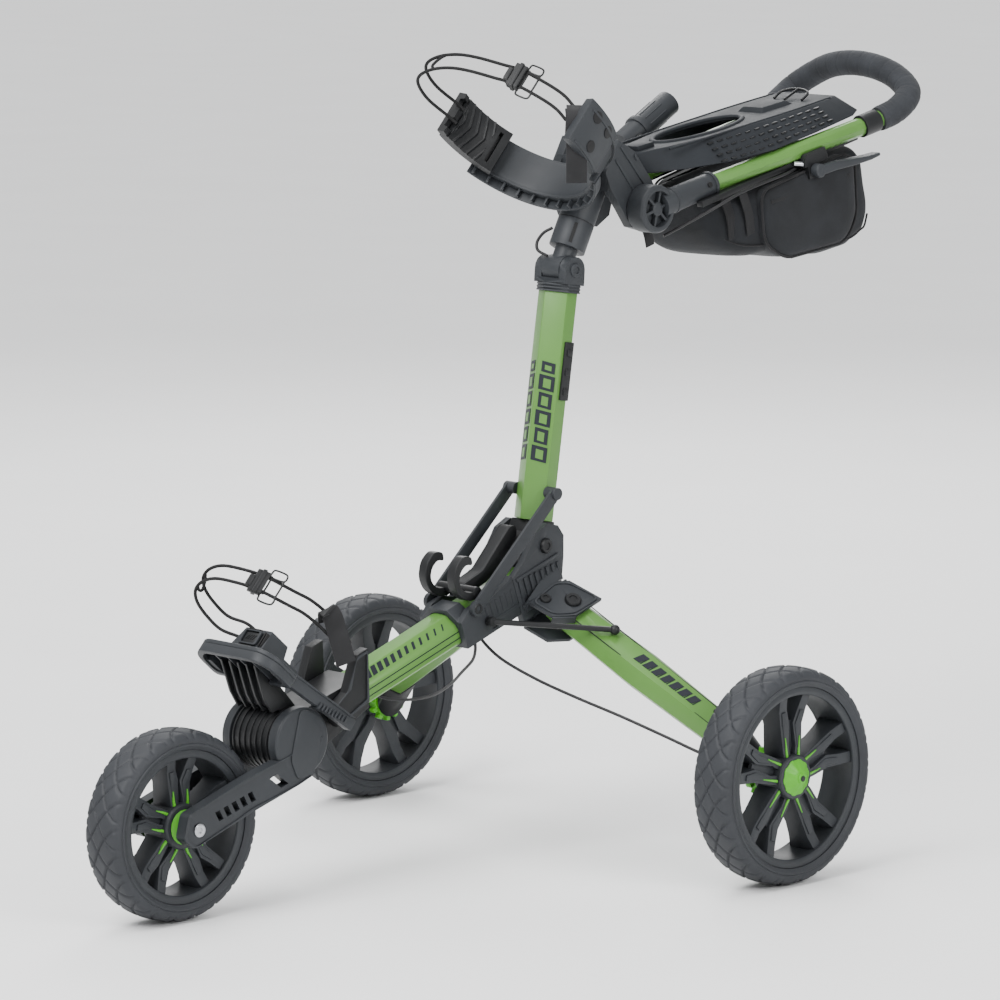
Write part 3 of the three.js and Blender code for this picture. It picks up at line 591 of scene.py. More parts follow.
def area_light(name, place, size, power):
    data = bpy.data.lights.new(name, "AREA")
    data.shape = "DISK"
    data.size = size
    data.energy = power
    made = add_object(name, data)
    made.location = place
    made.rotation_euler = (Vector((0, 0, 0.4)) - Vector(place)).to_track_quat("-Z", "Y").to_euler()


def make_studio():
    area_light("key", (0.4, -2.8, 3.0), 2.0, 150)
    area_light("side", (3.4, -0.2, 1.8), 1.6, 75)
    area_light("back", (-2.2, 2.4, 2.6), 2.0, 80)
    sun = bpy.data.lights.new("overhead", "SUN")
    sun.energy = 2.1
    sun.angle = math.radians(50)
    add_object("overhead", sun).rotation_euler = (math.radians(12), math.radians(-8), 0)
    world = bpy.data.worlds.new("studio")
    world.use_nodes = True
    sky = world.node_tree.nodes["Background"]
    sky.inputs["Color"].default_value = (0.93, 0.94, 0.95, 1)
    sky.inputs["Strength"].default_value = 0.8
    bpy.context.scene.world = world
    bm = bmesh.new()
    for x, y in ((-1, -1), (1, -1), (1, 1), (-1, 1)):
        bm.verts.new((x * FLOOR_HALF, y * FLOOR_HALF, FLOOR_Z))
    bm.faces.new(bm.verts)
    mesh = bpy.data.meshes.new("floor")
    bm.to_mesh(mesh)
    bm.free()
    floor = add_object("floor", mesh)
    pale = (0.86, 0.86, 0.86)
    paper = Nodes("floor_paper", pale, 0.75)
    paper.vary(paper.noise(3, 4), pale, 0.012)
    floor.data.materials.append(paper.material)


make_camera()
make_studio()


# ---- wheels ----------------------------------------------------------------------------------
def groove(distance, half_width):
    """1 in the middle of a groove, 0 outside it."""
    t = abs(distance) / half_width
    return 0.0 if t >= 1 else (1 - t * t) ** 2


def tyre(name, node, body, centre, radius, pitches):
    """Foam-filled tyre: two families of curved grooves cross on the tread and leave diamonds."""
    wall = [(radius - down, x) for down, x in
            ((20, -24.2), (17, -26.2), (15.6, -27.2), (14, -27.2), (13, -26.0), (11.8, -26.4),
             (9, -26.0), (6.6, -24.9), (4.4, -23.0))]
    across = [TREAD_HALF * (i / 15 - 1) for i in range(31)]
    tread = [(radius - 2.9 * (abs(x) / TREAD_HALF) ** 2.4, x) for x in across]
    profile = wall + tread + [(r, -x) for r, x in reversed(wall)]
    around = pitches * 26
    pitch = TAU * radius / pitches
    bm = bmesh.new()
    rows = []
    for r, x in profile:
        fade = min(1.0, max(0.0, (26.4 - abs(x)) / 3.5)) if r > radius - 12 else 0.0
        bend = 0.86 * math.sin(1.25 * x / TREAD_HALF)
        row = []
        for i in range(around):
            u = pitches * i / around
            down = 0.0
            if fade:
                for shift in (bend, -bend):
                    near = (u + shift + 0.5) % 1 - 0.5
                    down = max(down, groove(near * pitch, 2.9))
            depth = r - 1.9 * down * fade
            row.append(bm.verts.new(polar(centre, x, depth, TAU * i / around)))
        rows.append(row)
    for low, high in zip(rows, rows[1:] + rows[:1]):
        for i in range(around):
            j = (i + 1) % around
            bm.faces.new((low[i], low[j], high[j], high[i]))
    bmesh.ops.recalc_face_normals(bm, faces=bm.faces)
    return piece(name, bm, RUBBER, body, node, 50)


def polar(centre, x, r, angle):
    """A point at a radius and an angle round the X axis through centre."""
    return centre + Vector((x, r * math.cos(angle), r * math.sin(angle)))


def spoke_box(centre, out, stations):
    """A skin over four-cornered stations of (radius, angle, half width, outer x, inner x)."""
    rings = []
    for r, at, half, high, low in stations:
        across = Vector((0, -math.sin(at), math.cos(at))) * half
        p = polar(centre, high * out, r, at)
        q = polar(centre, low * out, r, at)
        rings.append([p - across, p + across, q + across * 1.15, q - across * 1.15])
    return loft(rings, bevel=0.9)


def rim(name, node, body, centre, radius, out, hub):
    """Five pairs of kinked box spokes between a hub ring and a lipped band, the same outside."""
    outer = radius - 20.4
    band = lathe([(outer - 8.5, -22.5), (outer - 5.2, -23.6), (outer, -23.2), (outer, 23.2),
                  (outer - 5.2, 23.6), (outer - 8.5, 22.5), (outer - 9.2, 20.5),
                  (outer - 6.4, 8), (outer - 6.4, -8), (outer - 9.2, -20.5)],
                 centre, 128, out, 0.5)
    ring = lathe([(hub, -20.5), (23.5, -20.5), (25, -18), (25, 18), (23.5, 20.5), (hub, 20.5)],
                 centre, 64, out, 0.5)
    parts = [band, ring]
    for base in SPOKES:
        for lean in (-1, 1):
            root, kink, end = (base + lean * a for a in (0.42, 0.17, 0.2))
            tip = outer - 5
            parts.append(spoke_box(centre, out, [
                (16, root, 5.2, 15.5, -15), (0.36 * tip, base + lean * 0.3, 5.0, 14.5, -14),
                (0.62 * tip, kink, 7.4, 12.5, -12), (0.8 * tip, base + lean * 0.2, 6.4, 14.5, -13),
                (tip, end, 6.0, 19.5, -18)]))
            parts.append(spoke_box(centre, out, [
                (0.34 * tip, base + lean * 0.31, 2.2, 15.2, 13), (0.6 * tip, kink, 4.0, 13.6, 11.5),
                (0.78 * tip, base + lean * 0.2, 3.2, 15.8, 12)]))
        for face in (1, -1):
            web = ((18, -0.45), (18, 0.45), (0.62 * outer, 0.12), (0.62 * outer, -0.12))
            parts.append(hull([polar(centre, face * x * out, r, base + a) for x in (9, 4)
                               for r, a in web], 0.6))
    return piece(name, parts, GREY, body, node)


def green_rays(name, body, centre, out, reach, faces):
    """Thin green lines that run from the hub out along both edges of every spoke pair."""
    parts = []
    for face in faces:
        for base in SPOKES:
            for lean in (-1, 1):
                stations = []
                for r, a, half, lift in ((17, 0.5, 1.9, 17.2), (30, 0.33, 1.3, 15.9),
                                         (reach, 0.25, 0.5, 15.1)):
                    stations.append((r, base + lean * a, half, face * lift, face * (lift - 2.5)))
                parts.append(spoke_box(centre, out, stations))
    return piece(name, parts, GREEN_PLASTIC, body)


def cone_cap(centre, out, base, radius, height):
    """A ribbed green cone with a small round centre."""
    sides = 60
    rings = []
    for r, x in ((radius, base), (radius, base + 1.6), (radius * 0.82, base + 0.36 * height),
                 (radius * 0.5, base + 0.78 * height), (radius * 0.34, base + height)):
        ring_points = []
        for i in range(sides):
            ridge = 1.05 if i % 6 < 3 and r > radius * 0.4 else 1.0
            ring_points.append(polar(centre, x * out, r * ridge, TAU * i / sides))
        rings.append(ring_points)
    return loft(rings)


def wheels():
    for side, out in SIDES:
        centre = AXLE[side]
        body = "rear_wheel_" + side
        tyre("tyre_" + side, "rear_tyre_" + side, body, centre, REAR_R, 24)
        rim("rim_" + side, "rear_rim_" + side, body, centre, REAR_R, out, 6.5)
        green_rays("hub_rays_" + side, body, centre, out, 46, (1,))
        cap = [cone_cap(centre, out, 19.6, 19.5, 9.5),
               lathe([(0, 27.5), (6.2, 27.5), (6.2, 30), (4.4, 30.8), (0, 30.8)], centre, 32, out,
                     0.3)]
        piece("hub_cap_" + side, cap, GREEN_PLASTIC, body, "rear_hub_cap_" + side)
        eye = lathe([(0, 30), (3.4, 30), (3.4, 31.3), (0, 31.3)], centre, 24, out, 0.2)
        piece("hub_dot_" + side, eye, DARK, body)
    centre = AXLE["front"]
    tyre("tyre_front", "front_tyre", "front_wheel", centre, FRONT_R, 21)
    rim("rim_front", "front_rim", "front_wheel", centre, FRONT_R, 1, 13)
    green_rays("hub_rays_front", "front_wheel", centre, 1, 40, (1, -1))


# ---- decals: print marks and painted shade lines laid a hair above the surface ---------------
def patch(place, outline, lift=0.25, thick=0.35):
    """A thin mark: outline of (u, v) points, place(u, v, height above the surface)."""
    return prism([outline], lambda t, u, v: place(u, v, t), lift, lift + thick, 0)


def slash(u0, u1, v0, v1, slant=0.0):
    """A block whose far edge is shifted by slant."""
    return [(u0, v0), (u1, v0), (u1 + slant, v1), (u0 + slant, v1)]


def facet(origin, along, across):
    """Places (u, v, lift) on a flat facet."""
    along = along.normalized()
    normal = along.cross(across).normalized()
    across = normal.cross(along).normalized()
    return lambda u, v, lift: origin + along * u + across * v + normal * lift


def tube_print_and_groove_shade():
    """Slanted dark print bars that shrink along the near shoulder of the lower tube, and painted
    shade lines for the side grooves.
    """
    parts = []
    for out in (1, -1):
        low, high = on_tube(22 * out, 0, 6), on_tube(11 * out, 0, 16)
        across = high - low
        shoulder = facet(low, tube_along * out, across)
        for i in range(12):
            start = 12 + i * 9.6 + 0.12 * i * i
            width = 7.4 - 0.5 * i
            u0, u1 = span(start, start + width, out)
            parts.append(patch(shoulder, slash(u0, u1, 2.0, across.length - 1.5 - 0.35 * i,
                                               4.5 * out), 0.04, 0.22))
        # Painted shade: the side grooves are drawn as flat dark lines in the print finish.
        for h in (-2.2, -9.5):
            groove_shade_line = facet(on_tube(25 * out, 0, h), tube_along * out, tube_up)
            parts.append(patch(groove_shade_line, slash(*span(2, 262, out), 0, 1.1), 0.04, 0.22))
    piece("tube_print_and_groove_shade", parts, PRINT_AND_SHADE, "frame")


def upright_marks():
    """A column of plain open blocks on each front facet of the upright, and its cable clips."""
    edge, corner = on_upright(23, 8, 0), on_upright(0, 21, 0)
    across = corner - edge
    for side, out in SIDES:
        low = Vector((edge.x * out, edge.y, edge.z))
        step = Vector((across.x * out, across.y, across.z))
        flat = facet(low, upright_up * out, step)
        dark, pale = [], []
        for i, (start, length) in enumerate(((78, 17), (98, 17), (118, 17), (138, 17), (158, 17),
                                             (178, 12))):
            u0, u1 = span(start, start + length, out)
            wide = 4.5 if i % 2 else 3.5
            slant = 2.5 * out
            dark.append(patch(flat, slash(u0, u1, wide, 22.0 - (1.5 if i % 2 else 0), slant)))
            pale.append(patch(flat, slash(u0 + 3.4, u1 - 3.4, wide + 4.2, 16.6, slant * 0.6),
                              0.7, 0.2))
        piece("upright_marks_" + side, dark, PRINT_AND_SHADE, "upright")
        piece("upright_mark_centres_" + side, pale, GREEN_PAINT, "upright")
    clips = []
    for x, h0, h1 in ((-24.3, 176, 222), (24.3, 150, 216)):
        clips.append(box(on_upright, (x - 1.6, x + 1.6), (-9, 4), (h0, h1), 1.2))
        for k in range(3):
            h = h0 + (h1 - h0) * (k + 0.5) / 3
            clips.append(box(on_upright, (x - 3.2, x + 3.2), (-6, 1), (h - 5, h + 3), 1.0))
    piece("upright_clips", clips, DARK, "upright")


def leg_marks():
    """Slanted bars on the leg's upper facet, painted shade lines for the groove under its ridge and
    two rivets.
    """
    for side, out in SIDES:
        place = on_leg(out)

        def on_top(u, v, lift, place=place):
            scale = 1.08 - max(0.0, u - 110) / 140 * 0.18
            return place(u, v * scale, 15.25 * scale + 0.02 * v + lift)

        bars = []
        for i in range(7):
            u = 100 + i * 13
            bars.append(patch(on_top, slash(u, u + 8.5, -7.5, 5.0, 3.5)))
            bars.append(patch(on_top, slash(u + 9.6, u + 10.8, -7.5, 5, 2.2)))
        piece("leg_marks_" + side, bars, PRINT_AND_SHADE, "rear_leg_" + side)
        # Painted shade: near-black lines drawn on the facet where its grooves fall dark.
        line = []
        for v, sink in ((-14.5, 0.1), (12.2, 0.0)):
            line.append(patch(on_top, slash(14, 244, v - 0.6, v + 0.6), sink - 0.1, 0.45))
        piece("leg_groove_shade_" + side, line, SHADOW, "rear_leg_" + side)
        rivets = []
        for along, back in ((212, 6), (236, -2), (236, 9)):
            rivets.append(screw(place(along, back, 14.2), leg_up_on(out), 3.4, 1.3))
        piece("leg_rivets_" + side, rivets, DARK, "rear_leg_" + side)


# ---- front: fork, foot, strap housing --------------------------------------------------------
FORK_LEG = [(-418, 182), (-434, 140), (-452, 133), (-522, 112), (-604, 84), (-618, 96),
            (-611, 122), (-592, 128), (-522, 152), (-470, 165)]
fork_dir = Vector((-152, -45)).normalized()
fork_side = Vector((fork_dir.y, -fork_dir.x))


def on_fork(u, v):
    """A point of the side view, along the fork's leg from the knee and above its middle line."""
    return Vector((-452, 150)) + fork_dir * u + fork_side * v


def side_view(x, y, z):
    """Places (x, y, z) for a plate whose outline is drawn in the side view."""
    return Vector((x, y, z))


def fork():
    """Both legs of the front fork with their slots, the discs at the pivot and the axle's ends."""
    outlines = [[(20, -9), (31, -9), (43, 7), (32, 8)], slash(149, 156, -4, 4)]
    outlines[1:1] = [slash(u, u + 6.5, -6.5, 5, 2.5) for u in range(68, 128, 12)]
    holes = [[on_fork(u, v) for u, v in outline] for outline in outlines]
    leg = rounded(FORK_LEG, [4, 2, 8, 20, 5, 5, 4, 8, 30, 20])
    inner = inset(leg, 4.0, FORK_LEG)
    half_pin = Vector((40, 0, 0))
    parts = [bar(FORK_PIVOT - half_pin, FORK_PIVOT + half_pin, 8)]
    for out in (1, -1):
        parts.append(prism([leg] + holes, side_view, *span(31.8, 44.8, out), 0.7))
        parts.append(prism([leg, inner], side_view, *span(44.8, 46.2, out), 0.4))
        parts.append(lathe([(0, 31.6), (38, 31.6), (38, 43), (36, 44.6), (30, 45.0), (0, 45.2)],
                           FORK_PIVOT, 72, out, 0.5))
        arm = [(-452, 214), (-436, 211), (-421, 186), (-432, 142), (-456, 138), (-466, 160)]
        parts.append(prism([rounded(arm, 6)], side_view, *span(45.2, 46.4, out), 0.9))
        for k in range(6):
            a = on_fork(-14 + k * 1.4, -14 + k * 5.2)
            tip = [(a.x + y, a.y + z) for y, z in ((-4, 0), (5, 1.6), (5, 3.4), (-4, 1.8))]
            parts.append(slab(side_view, span(44.6, 46.3, out), tip, 0.3))
    piece("fork", parts, GREY, "front_fork", "front_fork")
    cap = ((0, 44.6), (7.5, 44.6), (7.5, 46.4), (6.4, 47.2), (2.6, 47.2), (2.2, 46), (0, 46))
    ends = [lathe(cap, AXLE["front"], 32, out, 0.2) for out in (1, -1)]
    half_axle = Vector((44, 0, 0))
    ends.append(bar(AXLE["front"] - half_axle, AXLE["front"] + half_axle, 5))
    piece("axle_front", ends, STEEL, "front_fork", "front_axle")


def yoke():
    """The ribbed drum that the fork turns on, and the raised edges of the yoke's cheeks."""
    rings = [lathe([(33, x - 1.2), (37.2, x - 1.2), (37.2, x + 1.2), (33, x + 1.2)],
                   FORK_PIVOT, 64, 1, 0.4) for x in range(-27, 28, 9)]
    refined("front_yoke", DARK, 1.0, 2, 40, rings)
    trim = []
    for out in (1, -1):
        outline = rounded([(-350, 266), (-348, 210), (-390, 189), (-402, 205), (-379, 224),
                           (-366, 260)], 3)
        trim.append(prism([outline, inset(outline, 3.4)], side_view, *span(41.6, 43.2, out), 0.4))
    piece("yoke_trim", trim, GREY, "frame")


def foot_plate():
    """The plate that the bag stands on, its two arms, the ribbed web below and the strap box, with
    painted shade in its slots.
    """
    outline = rounded([(-62, 46), (-62, 10), (-46, -7), (46, -7), (62, 10), (62, 46)],
                      [8, 16, 16, 16, 16, 8])
    inner = rounded([(-55, 40), (-55, 13), (-42, 0), (42, 0), (55, 13), (55, 40)], 10)

    def place(t, x, back):
        return on_foot(x, back, t)

    parts = [prism([outline], place, 2.5, 8, 1.8, 3),
             prism([outline, inner], place, -8, 2.6, 1.2)]
    for x in (-30, -10, 10, 30):
        parts.append(box(on_foot, (x - 1.2, x + 1.2), (0, 42), (-5, 3), 0.4))
    for out in (1, -1):
        arm = ((18, -6), (18, 7), (38, -6), (38, 7), (138, 7), (138, 20), (150, 7), (150, 20))
        parts.append(slab(on_foot, span(47.2, 58, out), arm, 1.6))
        parts.append(slab(on_foot, span(50, 59.4, out), ((30, 6), (36, 9), (140, 19), (146, 22))))
        for k in range(9):
            b, h = 92 + k * 5.2, 2.0 + k * 1.25
            parts.append(box(on_foot, span(47, 60, out), (b, b + 2.4), (h - 3.5, h + 4), 0.5))
        parts.append(box(on_foot, span(42.6, 51, out), (139.5, 148.5), (9.5, 18.5)))
    piece("bag_foot_plate", parts, GREY, "frame", "bag_foot")
    wedge = ((30, -7), (46, 1), (92, -4), (84, -18), (62, -26), (44, -18))
    rib = ((12, -5), (46, -2), (80, -12), (66, -30), (46, -24))
    web = [slab(on_foot, (-27, 27), wedge, 2)]
    web += [slab(on_foot, (x - 1.6, x + 1.6), rib, 0.6) for x in (-27, -13.5, 0, 13.5, 27)]
    piece("foot_web", web, DARK, "frame")

    rim_outline = rounded([(-3, 13), (25, 13), (25, 31), (-3, 31)], 3)
    rim_inner = rounded([(0, 15), (22, 15), (22, 29.5), (0, 29.5)], 2.5)
    shell = [prism([rim_outline, rim_inner], lambda t, x, up: on_foot(x, t, up), -0.6, 4, 0.5),
             box(on_foot, (-13, 35), (34, 66), (9, 22), 2)]
    refined("strap_housing", GREY, 1.4, 3, 40, shell)
    # Painted shade: near-black blocks set in the strap box's slots and openings.
    slots = [box(on_foot, x, b, h, 0.3) for x, b, h in
             (((2, 20), (0.4, 4), (31.6, 33.2)), ((2, 20), (0.2, 4), (10.4, 12.0)),
              ((28, 30), (0.6, 5), (13, 31)), ((31.6, 33.2), (0.8, 5), (13, 30)))]
    piece("strap_box_slot_shade", slots, SHADOW, "frame")
    button = [box(on_foot, (1.4, 20.6), (0.6, 9), (15.4, 28.6), 1.6)]
    for k in range(4):
        x = 4.5 + k * 3.6
        button.append(hull([on_foot(x + a, b, h) for b in (-0.1, 2) for a, h in
                            slash(0, 1.1, 19, 25, 3.6)], 0.2))
    piece("strap_button", button, DARK, "ratchet_button", "ratchet_button")


# ---- cords and webbing -----------------------------------------------------------------------
UPPER_CORD = [(-92, -86, 840), (-99, -111, 860), (-94, -131, 878), (-84, -138, 889),
              (-70, -132, 896), (-52, -122, 898), (-34, -110, 895), (-8, -97, 888),
              (14, -88, 882), (44, -78, 868), (62, -70, 856), (76, -68, 844)]
LOWER_CORD = [(-12, -475, 303), (-38, -480, 309), (-50, -489, 323), (-56, -497, 338),
              (-56, -500, 351), (-48, -499, 361), (-36, -493, 366), (-20, -485, 365),
              (6, -468, 357), (24, -438, 338), (32, -421, 327), (38, -402, 310),
              (40, -384, 292), (38, -372, 276)]


def bungee(where, route, body, roots, spread, buckle_at, join_at):
    """Two parallel elastic cords, the small loop that joins them, and their sliding buckle."""
    name = "bungee_" + where
    step = bag_up * spread
    path = [Vector(roots[0])] + [Vector(p) for p in route]
    other = [Vector(roots[1])] + [Vector(p) - step for p in route]
    parts = [tube(path, CORD_R, 110, 12, 0.3), tube(other, CORD_R, 110, 12, 0.3)]
    fine = smooth_path(path, 100)
    a = fine[join_at]
    back = (fine[join_at - 8] - a).normalized()
    loop = [a - step * down + back * out for down, out in
            ((0, 0), (0.12, 7), (0.5, 12), (0.88, 7), (1, 0))]
    parts.append(tube(loop, 1.7, 30, 10))
    piece(name, parts, CORD, body, where + "_bungee_cord")
    centre = fine[buckle_at] - step / 2
    along = (fine[buckle_at + 3] - fine[buckle_at - 3]).normalized()
    up = step.normalized()
    out = along.cross(up).normalized()

    def place(x, s, h):
        return centre + out * x + along * s + up * h

    half = spread / 2 + 5
    block = [box(place, (-5, 5), (-8, 7), (-half, half), 1.6),
             box(place, (-6.6, 6.6), (-3, 2), (-half - 1, half + 1), 1.2),
             box(place, (-6.2, 6.2), (-13, -7), (-half + 4, half - 9), 1.4)]
    piece(name + "_buckle", block, DARK, body, where + "_cord_buckle")
    wires = []
    for end in (1, -1):
        mid = end * (half - 2)
        ring = [(7, 5), (9, 8), (21, 8), (24, 4.5), (22, -1), (8, -1), (7, 5)]
        wires.append(tube([place(0, s, mid + h * end) for s, h in ring], 1.1, 36, 8))
    for s in (9, 23):
        rung = ((s, 2 - half), (s + 0.3, 0), (s, half - 2))
        wires.append(tube([place(0, t, h) for t, h in rung], 1.1, 12, 8))
    piece(name + "_ladder", wires, DARK, body)


def cords():
    bungee("upper", UPPER_CORD, "neck", ((-86, -80, 832), (-86, -92, 818)), 19, 72, 40)
    bungee("lower", LOWER_CORD, "frame", ((6, -468, 288), (2, -480, 284)), 17, 57, 35)
    face = Vector((0.62, 0.78, 0))
    outer = [(86, -74, 846), (97, -84, 838), (100, -88, 822), (100, -88, 795), (99, -87, 762)]
    inner = [(84, -74, 842), (94, -83, 834), (97, -87, 815)]
    webs = [strap(path, face, 23, 1.6) for path in (outer, inner)]
    piece("webbing_upper", webs, WEBBING, "neck")
    low = [(38, -404, 304), (42, -408, 316), (46, -404, 308), (47, -396, 284), (47, -386, 256)]
    piece("webbing_lower", strap(low, Vector((0.45, 0.84, 0.25)), 22, 1.6), WEBBING, "frame")


# ---- centre: hub, collar, links --------------------------------------------------------------
def hub():
    """Bolts and screws of the hub, the trim of the leg covers, and the ribs of hub and collar."""
    screws = []
    for side, out in SIDES:
        axis = Vector((out, 0, 0))
        screws.append(screw(MAIN_PIVOT + axis * 34.4, axis, 8.6, 3.4))
        ends = [screw(LINK_TOP + axis * 38.2, axis, 5.2, 2.6),
                screw(on_tube(38.4 * out, LINK_LOW_S, LINK_LOW_H), axis, 6.4, 2.4)]
        piece("link_screws_" + side, ends, DARK, "side_link_" + side)
    piece("hub_screws", screws, DARK, "frame", "main_pivot_bolt")
    for side, out in SIDES:
        place = on_leg(out)
        axis = leg_up_on(out)
        heads = [screw(place(0, 0, 22.2), axis, 9.5, 3.6),
                 screw(place(-22, -22, 22.2), axis, 6.6, 2.4),
                 bar(place(0, 0, -24), place(0, 0, 22.2), 5)]
        piece("leg_bolt_" + side, heads, DARK, "frame", "leg_pivot_bolt_" + side)
        plate = rounded([(-28, -37), (0, -33), (15, -13), (17, 26), (-21, 18), (-32, 4)], 7)
        lip = prism([plate, inset(plate, 2.6)], lambda t, a, b, place=place: place(a, b, t),
                    22.0, 23.4, 0.4)
        fold = hull([place(a, b, h) for a, b in ((1, -36), (18, -15), (3, -38), (20, -16))
                     for h in (12, 22)], 0.9)
        piece("cover_trim_" + side, [lip, fold], GREY, "frame")
    ribs, slots = [], []
    for out in (1, -1):
        x = span(33.6, 36.2, out)
        for i in range(8):
            s = 244 + i * 8.8
            ribs.append(box(on_tube, x, (s, s + 3.6), (-13 + i * 0.2, 17 - i * 0.9), 0.5))
        ribs.append(box(on_tube, x, (242, 312), (16.5, 20), 0.7))
        ribs.append(slab(on_tube, x, ((242, -17), (242, -13), (314, -18), (314, -14.5)), 0.7))
    piece("hub_ribs", ribs, GREY, "frame")
    for out in (1, -1):
        x = span(33.6, 34.7, out)
        for i in range(6):
            s = 188 + i * 8.4
            slots.append(box(on_tube, x, (s, s + 3.4), (-6, 12), 0.5))
        slots.append(slab(on_tube, x, ((184, 10), (184, 13.5), (238, 21), (238, 25)), 0.7))
        slots.append(box(on_tube, x, (196, 238), (-12, -8), 0.5))
        slots.append(box(on_tube, span(27, 32.6, out), (151, 156), (-20, 8), 1))
    piece("collar_ribs", slots, GREY, "slider")
    latch()
    refined("hub_housing", GREY, 1.6, 3)
    refined("slide_collar", GREY, 1.2, 2)


def latch():
    """The fold latch: a pivot bar, a long bent arm and two C-shaped hooks."""
    arm = rounded([(-176, 302), (-166, 300), (-133, 316), (-104, 344), (-90, 362), (-93, 372),
                   (-101, 372), (-120, 352), (-144, 326), (-174, 314)], 5)
    hook = rounded([(-170, 300), (-184, 298), (-200, 306), (-208, 322), (-204, 340), (-192, 350),
                    (-180, 348), (-178, 338), (-188, 340), (-197, 332), (-199, 320),
                    (-193, 311), (-182, 307), (-170, 312)],
                   [3, 8, 9, 9, 9, 7, 4, 4, 6, 6, 6, 6, 5, 3])
    y, z = LATCH_PIVOT.y, LATCH_PIVOT.z
    parts = [bar((-30, y, z), (30, y, z), 6.5, 32), prism([arm], side_view, -8, 8, 1.6, 3)]
    for out in (1, -1):
        parts.append(prism([hook], side_view, *span(17, 29, out), 1.6, 3))
        parts.append(prism([arm], side_view, *span(7.8, 9.4, out), 0.6))
    piece("latch_shape", parts, DARK, "latch", "fold_latch")


# ---- upper: cradle, neck, bracket ------------------------------------------------------------
def arc_shell(a0, a1, inner, outer, low, high, around=60, rows=24):
    """A closed stretch of a ring round the bag; inner(angle, up) is its inner face's radius."""
    def point(r, angle, up):
        a = math.radians(angle)
        return on_cradle(r * math.sin(a), CRADLE_R - r * math.cos(a), up)

    bm = bmesh.new()
    angles = [a0 + (a1 - a0) * i / around for i in range(around + 1)]
    ups = [low + (high - low) * k / rows for k in range(rows + 1)]
    near, far = ([[bm.verts.new(point(skin(a, u), a, u)) for u in ups] for a in angles]
                 for skin in (inner, outer))
    for grid in (near, far):
        for i in range(around):
            for k in range(rows):
                bm.faces.new((grid[i][k], grid[i + 1][k], grid[i + 1][k + 1], grid[i][k + 1]))
    for i in range(around):
        for k in (0, rows):
            bm.faces.new((near[i][k], near[i + 1][k], far[i + 1][k], far[i][k]))
    for k in range(rows):
        for i in (0, around):
            bm.faces.new((near[i][k], near[i][k + 1], far[i][k + 1], far[i][k]))
    bmesh.ops.recalc_face_normals(bm, faces=bm.faces)
    return bm


def pad_inner(angle, up):
    """The pad's padded inner face: a crown, chevron ridges and a slot near its lower end."""
    across = (up - 3) / 27
    r = CRADLE_R - 13 + 2.6 * abs(across) ** 3
    if -90 < angle < -62:
        wave = (angle + 5.5 * abs(across)) % 7
        r -= 1.5 * max(0.0, 1 - abs(wave - 3.5) / 1.3)
    if -58.5 < angle < -56 and abs(across) < 0.72:
        r += 7
    if angle < -92.5 and 0.25 < abs(across) < 0.75:
        r += 6
    if -93.5 < angle < -91.5:
        r += 2.0
    return r


def cradle():
    """The upper cradle: a ribbed pad, the band with its flanges, ribs and ear, and the ear's holes
    as painted shade discs.
    """
    pad = arc_shell(-98, -50, pad_inner, lambda a, u: CRADLE_R - 0.4, -24, 30, 150, 40)
    piece("cradle_pad_ribbed", pad, DARK, "neck", "cradle_pad", 30)
    band = [arc_shell(-50, 96, lambda a, u: CRADLE_R + 0.8 * abs((u - 3) / 21) ** 4,
                      lambda a, u: CRADLE_R + 6, -18, 24, 90, 10),
            arc_shell(-92, -50, lambda a, u: CRADLE_R + 0.2, lambda a, u: CRADLE_R + 6,
                      -18, 24, 30, 4)]
    for low, high in ((-20.5, -17), (23, 26)):
        band.append(arc_shell(-90, 94, lambda a, u: CRADLE_R + 1, lambda a, u: CRADLE_R + 9,
                              low, high, 90, 1))
    band.append(arc_shell(62, 98, lambda a, u: CRADLE_R - 5 + 1.2 * abs((u - 6) / 28) ** 4,
                          lambda a, u: CRADLE_R + 8, -22, 34, 30, 8))
    band.append(arc_shell(-62, 60, lambda a, u: CRADLE_R + 11, lambda a, u: CRADLE_R + 14,
                          -30, -18, 60, 1))
    for a in range(-60, 61, 10):
        band.append(arc_shell(a, a + 1.6, lambda b, u: CRADLE_R + 5,
                              lambda b, u: CRADLE_R + 12.5, -29, -17, 1, 1))
    for bm in band:
        soften(bm, 0.6, 2, 40)
    piece("cradle_band", band, GREY, "neck", "upper_cradle")
    # Painted shade: the ear is solid, and near-black discs on both faces stand for its holes.
    marks = []
    for a, u in ((74, 22), (88, 22), (81, -8)):
        centre = math.radians(a)
        for r0, r1 in ((CRADLE_R - 5.8, CRADLE_R - 3), (CRADLE_R + 6, CRADLE_R + 8.8)):
            p, q = (on_cradle(r * math.sin(centre), CRADLE_R - r * math.cos(centre), u)
                    for r in (r0, r1))
            marks.append(bar(p, q, 7.0, 24, bevel=0.2))
    piece("ear_hole_shade", marks, SHADOW, "neck")


